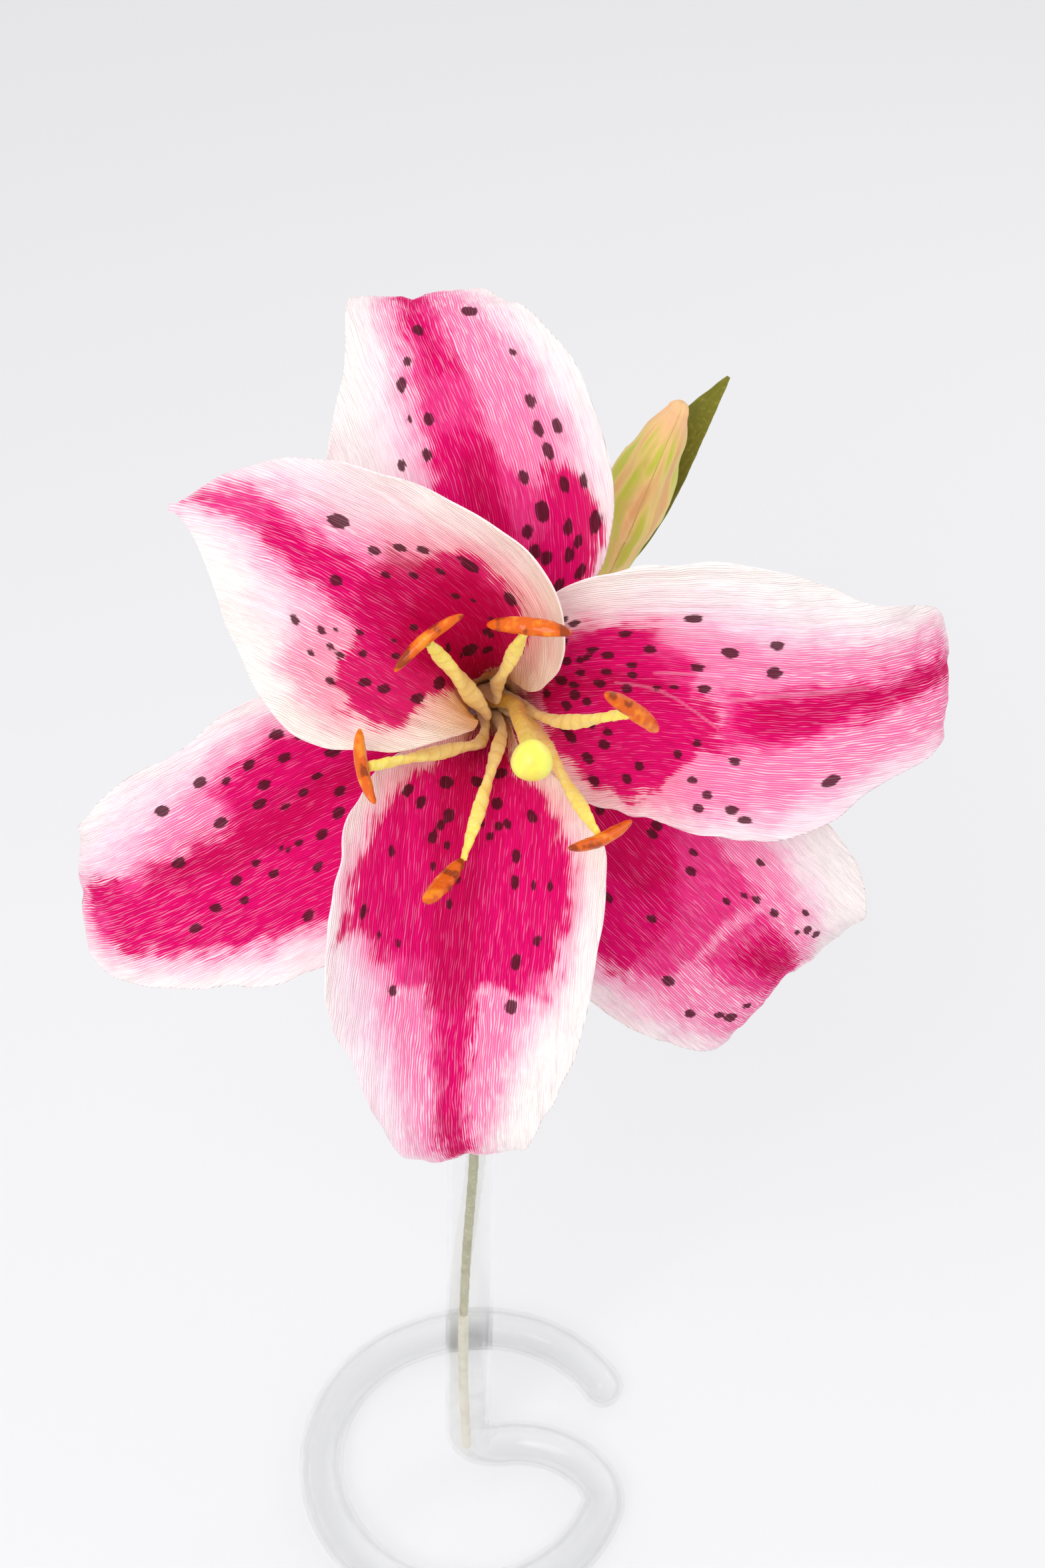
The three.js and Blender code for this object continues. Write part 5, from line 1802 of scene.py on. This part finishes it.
TOP_INK = Brushwork(
    wash=(Stroke(-0.1, 1.1, (-0.95, -0.9, -0.85, -0.8, -0.8, -0.8), (0.6, 0.6, 0.58, 0.56, 0.6, 0.6)),),
    rose=(Stroke(0.0, 1.1, (-0.95, -0.95, -0.75, -0.66, -0.6, -0.55), (0.5, 0.45, 0.38, 0.36, 0.42, 0.42)),),
    stripe=(Stroke(0.2, 1.0, (-0.9, -0.75, -0.2, -0.2, -0.24, -0.2), (0.4, 0.38, 0.32, 0.24, 0.24, 0.26)),),
    stain=(
        Stroke(0.05, 0.37, (-0.92, -0.94, -0.9), (0.45, 0.42, 0.38)),
        Stroke(0.3, 0.49, (-0.92, -0.9, -0.7), (-0.5, -0.46, -0.46)),
        Stroke(0.3, 0.6, (-0.2, -0.14, -0.1), (0.4, 0.34, 0.25)),
        Stroke(0.7, 0.95, (-0.16, -0.1, -0.06), (0.06, 0.14, 0.2)),
    ),
    deep=(Stroke(0.0, 0.55, (-0.8, -0.3, -0.12, -0.08), (0.3, 0.25, 0.2, 0.12)),),
    spots=(
        (-0.54, 0.823, 4.2), (0.03, 0.82, 3.4), (0.27, 0.755, 2), (0.37, 0.717, 3), (0.36, 0.65, 1.6),
        (0.22, 0.637, 2.8), (0.3, 0.575, 2.8), (0.49, 0.573, 2.6), (-0.63, 0.69, 1.8), (-0.56, 0.597, 2.8),
        (-0.68, 0.545, 2.6), (-0.54, 0.55, 3), (-0.55, 0.512, 3), (-0.32, 0.48, 3), (-0.77, 0.454, 2.6),
        (-0.62, 0.455, 2.8), (-0.42, 0.418, 4), (-0.85, 0.396, 3.6), (-0.63, 0.389, 2.8), (-0.28, 0.385, 3),
        (-0.73, 0.367, 2.4), (-0.67, 0.345, 2.8), (-0.83, 0.32, 3), (-0.68, 0.29, 3), (-0.36, 0.347, 3.2),
        (-0.47, 0.338, 3), (0.1, 0.3, 3), (-0.1, 0.25, 3), (0.3, 0.35, 2.8), (0.15, 0.2, 3),
        (-0.3, 0.22, 3), (0.4, 0.42, 2.6),
    ),
)

LOWER_LEFT_INK = Brushwork(
    wash=(Stroke(-0.1, 1.1, (-0.95, -0.9, -0.85, -0.85, -0.7, -0.6), (1.0, 0.95, 0.9, 0.86, 0.85, 0.8)),),
    rose=(
        Stroke(0.0, 0.75, (-0.85, -0.75, -0.68, -0.62, -0.3), (0.9, 0.85, 0.8, 0.76, 0.75)),
        Stroke(0.7, 1.05, (-0.3, -0.12, -0.2), (0.76, 0.74, 0.6)),
    ),
    stripe=(
        Stroke(0.1, 0.57, (-0.6, -0.6, -0.55, -0.5), (0.76, 0.76, 0.76, 0.75)),
        Stroke(0.5, 0.96, (-0.06, 0.0, -0.02, -0.12), (0.74, 0.72, 0.72, 0.5)),
    ),
    stain=(
        Stroke(0.05, 0.545, (-0.6, -0.56, -0.52, -0.45), (0.72, 0.74, 0.75, 0.73)),
        Stroke(0.5, 0.9, (-0.02, 0.02, 0.1, 0.2), (0.74, 0.7, 0.69, 0.68)),
        Stroke(0.85, 0.95, (-0.1, -0.1), (0.3, 0.2)),
    ),
    # Painted shade: this crimson band just right of the midline is the shadow of a fold.
    deep=(Stroke(0.1, 0.78, (-0.1, -0.06, 0.0, 0.02, 0.05), (0.25, 0.2, 0.22, 0.24, 0.12)),),
    spots=(
        (-0.5, 0.68, 3.4), (-0.59, 0.58, 3.2), (-0.09, 0.586, 3.2), (0.06, 0.705, 3.4), (0.54, 0.726, 2.8),
        (0.43, 0.673, 2.8), (0.32, 0.61, 2.8), (0.44, 0.612, 2.2), (0.27, 0.56, 2), (0.37, 0.537, 2.4),
        (-0.44, 0.532, 2.2), (-0.45, 0.478, 2.8), (-0.2, 0.473, 3), (-0.05, 0.499, 3.2), (0.68, 0.512, 2.8),
        (0.47, 0.452, 2.6), (0.28, 0.466, 2), (0.28, 0.49, 1.6), (0.25, 0.502, 1.4), (0.05, 0.458, 2),
        (0.03, 0.413, 2.4), (0.31, 0.415, 3), (-0.36, 0.415, 2.8), (-0.6, 0.408, 3), (0.25, 0.365, 3.2),
        (0.13, 0.346, 2.8), (-0.24, 0.33, 3.4), (-0.51, 0.37, 2.6), (-0.04, 0.375, 2.4), (0.3, 0.27, 3),
        (-0.2, 0.22, 3), (0.1, 0.2, 3), (0.45, 0.3, 2.8), (-0.4, 0.28, 2.8),
    ),
)

LOWER_RIGHT_INK = Brushwork(
    wash=(Stroke(-0.1, 1.1, (-1.0, -0.98, -0.95, -0.9, -0.95, -1.0), (1.0, 0.9, 0.8, 0.7, 0.62, 0.6)),),
    rose=(Stroke(0.0, 1.1, (-0.95, -0.9, -0.8, -0.76, -0.78, -0.8), (0.9, 0.75, 0.62, 0.55, 0.45, 0.4)),),
    stripe=(
        Stroke(0.05, 0.68, (-0.85, -0.78, -0.76, -0.6), (0.6, 0.5, 0.42, 0.3)),
        Stroke(0.7, 0.97, (-0.34, -0.3, -0.16), (0.3, 0.3, 0.3)),
    ),
    stain=(
        Stroke(0.03, 0.6, (-0.8, -0.74, -0.72, -0.73), (0.45, 0.4, 0.3, -0.2)),
        Stroke(0.75, 0.93, (-0.14, -0.1), (0.28, 0.26)),
    ),
    deep=(
        Stroke(0.0, 0.52, (-0.6, -0.5, -0.4, -0.2), (0.4, 0.36, 0.2, 0.0)),
        Stroke(0.78, 0.92, (-0.06, -0.02), (0.12, 0.2)),
    ),
    spots=(
        (-0.57, 0.864, 3.4), (-0.59, 0.835, 2.6), (-0.4, 0.88, 2.6), (-0.69, 0.77, 2.8), (-0.55, 0.68, 3.2),
        (-0.3, 0.551, 2.8), (0.11, 0.532, 2.8), (0.23, 0.502, 2.4), (0.48, 0.607, 2.2), (0.33, 0.721, 2.6),
        (0.3, 0.669, 2.4), (0.14, 0.633, 2.2), (0.26, 0.645, 2), (0.38, 0.805, 1.8), (0.47, 0.816, 2.8),
        (0.53, 0.846, 2.8), (0.52, 0.767, 2.2), (0.12, 0.414, 3), (0.19, 0.404, 3), (-0.43, 0.453, 2.4),
        (-0.1, 0.3, 3), (0.2, 0.25, 3), (-0.35, 0.33, 2.8), (0.35, 0.33, 2.8), (0.0, 0.2, 3),
    ),
)

PETALS = (
    Petal(
        "inner_petal_front", Whorl.INNER, 268, 125, 0.7, -4,
        lean=(16, 60, 92, 105, 162), sway=(-1, -3, 0, 10), plus=(9, 26.5, 25.5, 19, 9),
        minus=(15, 30, 30.5, 18, 9.5), cup_plus=(28, 35, 5, -15), cup_minus=(28, 38, 13, -5), ink=FRONT_INK,
    ),
    Petal(
        "inner_petal_left", Whorl.INNER, 146, 103, 0.6, 1,
        lean=(15, 45, 78, 89, 101), sway=(-22, -1, 11, 30), plus=(11, 26.5, 34, 21.5, 0),
        minus=(16.5, 29, 24, 16, 0), cup_plus=(85, 37, 12, 0), cup_minus=(128, 52, 19, -3), ink=LEFT_INK,
    ),
    Petal(
        "inner_petal_right", Whorl.INNER, 22, 115, 1.1, 6,
        lean=(48, 65, 90, 111, 169), sway=(-7, -26, -15, -1), plus=(21.5, 29, 26, 18, 14),
        minus=(23.5, 28.5, 29, 17.5, 9), cup_plus=(31, 12, 5, -3), cup_minus=(7, -3, -12, -28),
        ink=RIGHT_INK,
    ),
    Petal(
        "outer_petal_top", Whorl.OUTER, 99, 105, 0.8, 2,
        lean=(59, 74, 97, 129, 182), sway=(-12, 9, 16, -6), plus=(12, 26.5, 29.5, 17, 11),
        minus=(14.5, 25, 25.5, 20.5, 14.5), cup_plus=(18, 6, 4, 0), cup_minus=(12, 6, -11, -17),
        ink=TOP_INK,
    ),
    Petal(
        "outer_petal_left", Whorl.OUTER, 208, 106, 1, 10,
        lean=(67, 84, 98, 108, 159), sway=(-8, 2, 2, -5), plus=(15, 33, 34.5, 25.5, 14),
        minus=(11, 21, 19, 17.5, 9.5), cup_plus=(18, 15, 13, 10), cup_minus=(17, 4, -10, -16),
        ink=LOWER_LEFT_INK,
    ),
    Petal(
        "outer_petal_right", Whorl.OUTER, 336, 103, 1, 16,
        lean=(101, 93, 99, 122, 169), sway=(-27, -20, -20, -3), plus=(15, 30, 35, 29, 13),
        minus=(12.5, 28.5, 32, 26.5, 18), cup_plus=(11, 6, 12, 17), cup_minus=(10, 9, 6, -21),
        ink=LOWER_RIGHT_INK,
    ),
)

STAMENS = (
    Stamen(
        "upper_left", 123, 21.7, 61.8, 41, -3, 0, 1.3, 185,
        ((-1, -1.3, 12), (-3.4, 3.6, 26), (-6.6, 9.3, 36)),
    ),
    Stamen("top", 74, 22.1, 61.7, -2, 20, 55, 1.05, 125, ((0.8, 2.3, 12), (0.8, 6.1, 20), (2.6, 12.2, 36))),
    Stamen("right", 15.6, 24.2, 66.2, -37, -35, 30, 1, 25, ((8.4, -0.1, 14), (10.2, 0.2, 22), (14.9, 1, 34))),
    Stamen(
        "lower_right", 323.5, 21.5, 70.2, 15, -42, 30, 1, 330,
        ((8.4, -2.4, 14), (10.5, -4.4, 24.5), (14.6, -9.5, 41)),
    ),
    Stamen(
        "front", 251, 22.2, 70, 217, 60, -10, 1, 280,
        ((2.2, -4.4, 13), (1.3, -6.4, 24), (-1, -12, 38)), True,
    ),
    Stamen(
        "left", 188.7, 20.6, 67.6, -74, 42, 15, 1, 232,
        ((-1.3, -4.1, 12), (-2.3, -5.9, 20), (-6.6, -5.2, 32)),
    ),
)


def main() -> None:
    """Dresses the frame piece by piece."""
    logging.basicConfig(level=logging.INFO, format="%(name)s: %(message)s")
    tube = Seat(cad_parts["glass_vase"])
    winder = TapeWinder()
    TubeVase(tube).build()
    bud_foot, bud_way = Bud(tube).build()
    Stems(tube, winder).build(bud_foot, bud_way)
    for part in (Neck(tube), Perianth(tube), Stamens(tube, winder), Pistil(tube), Leaf(tube), Studio()):
        part.build()
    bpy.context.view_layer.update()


if __name__ == "__main__":
    main()
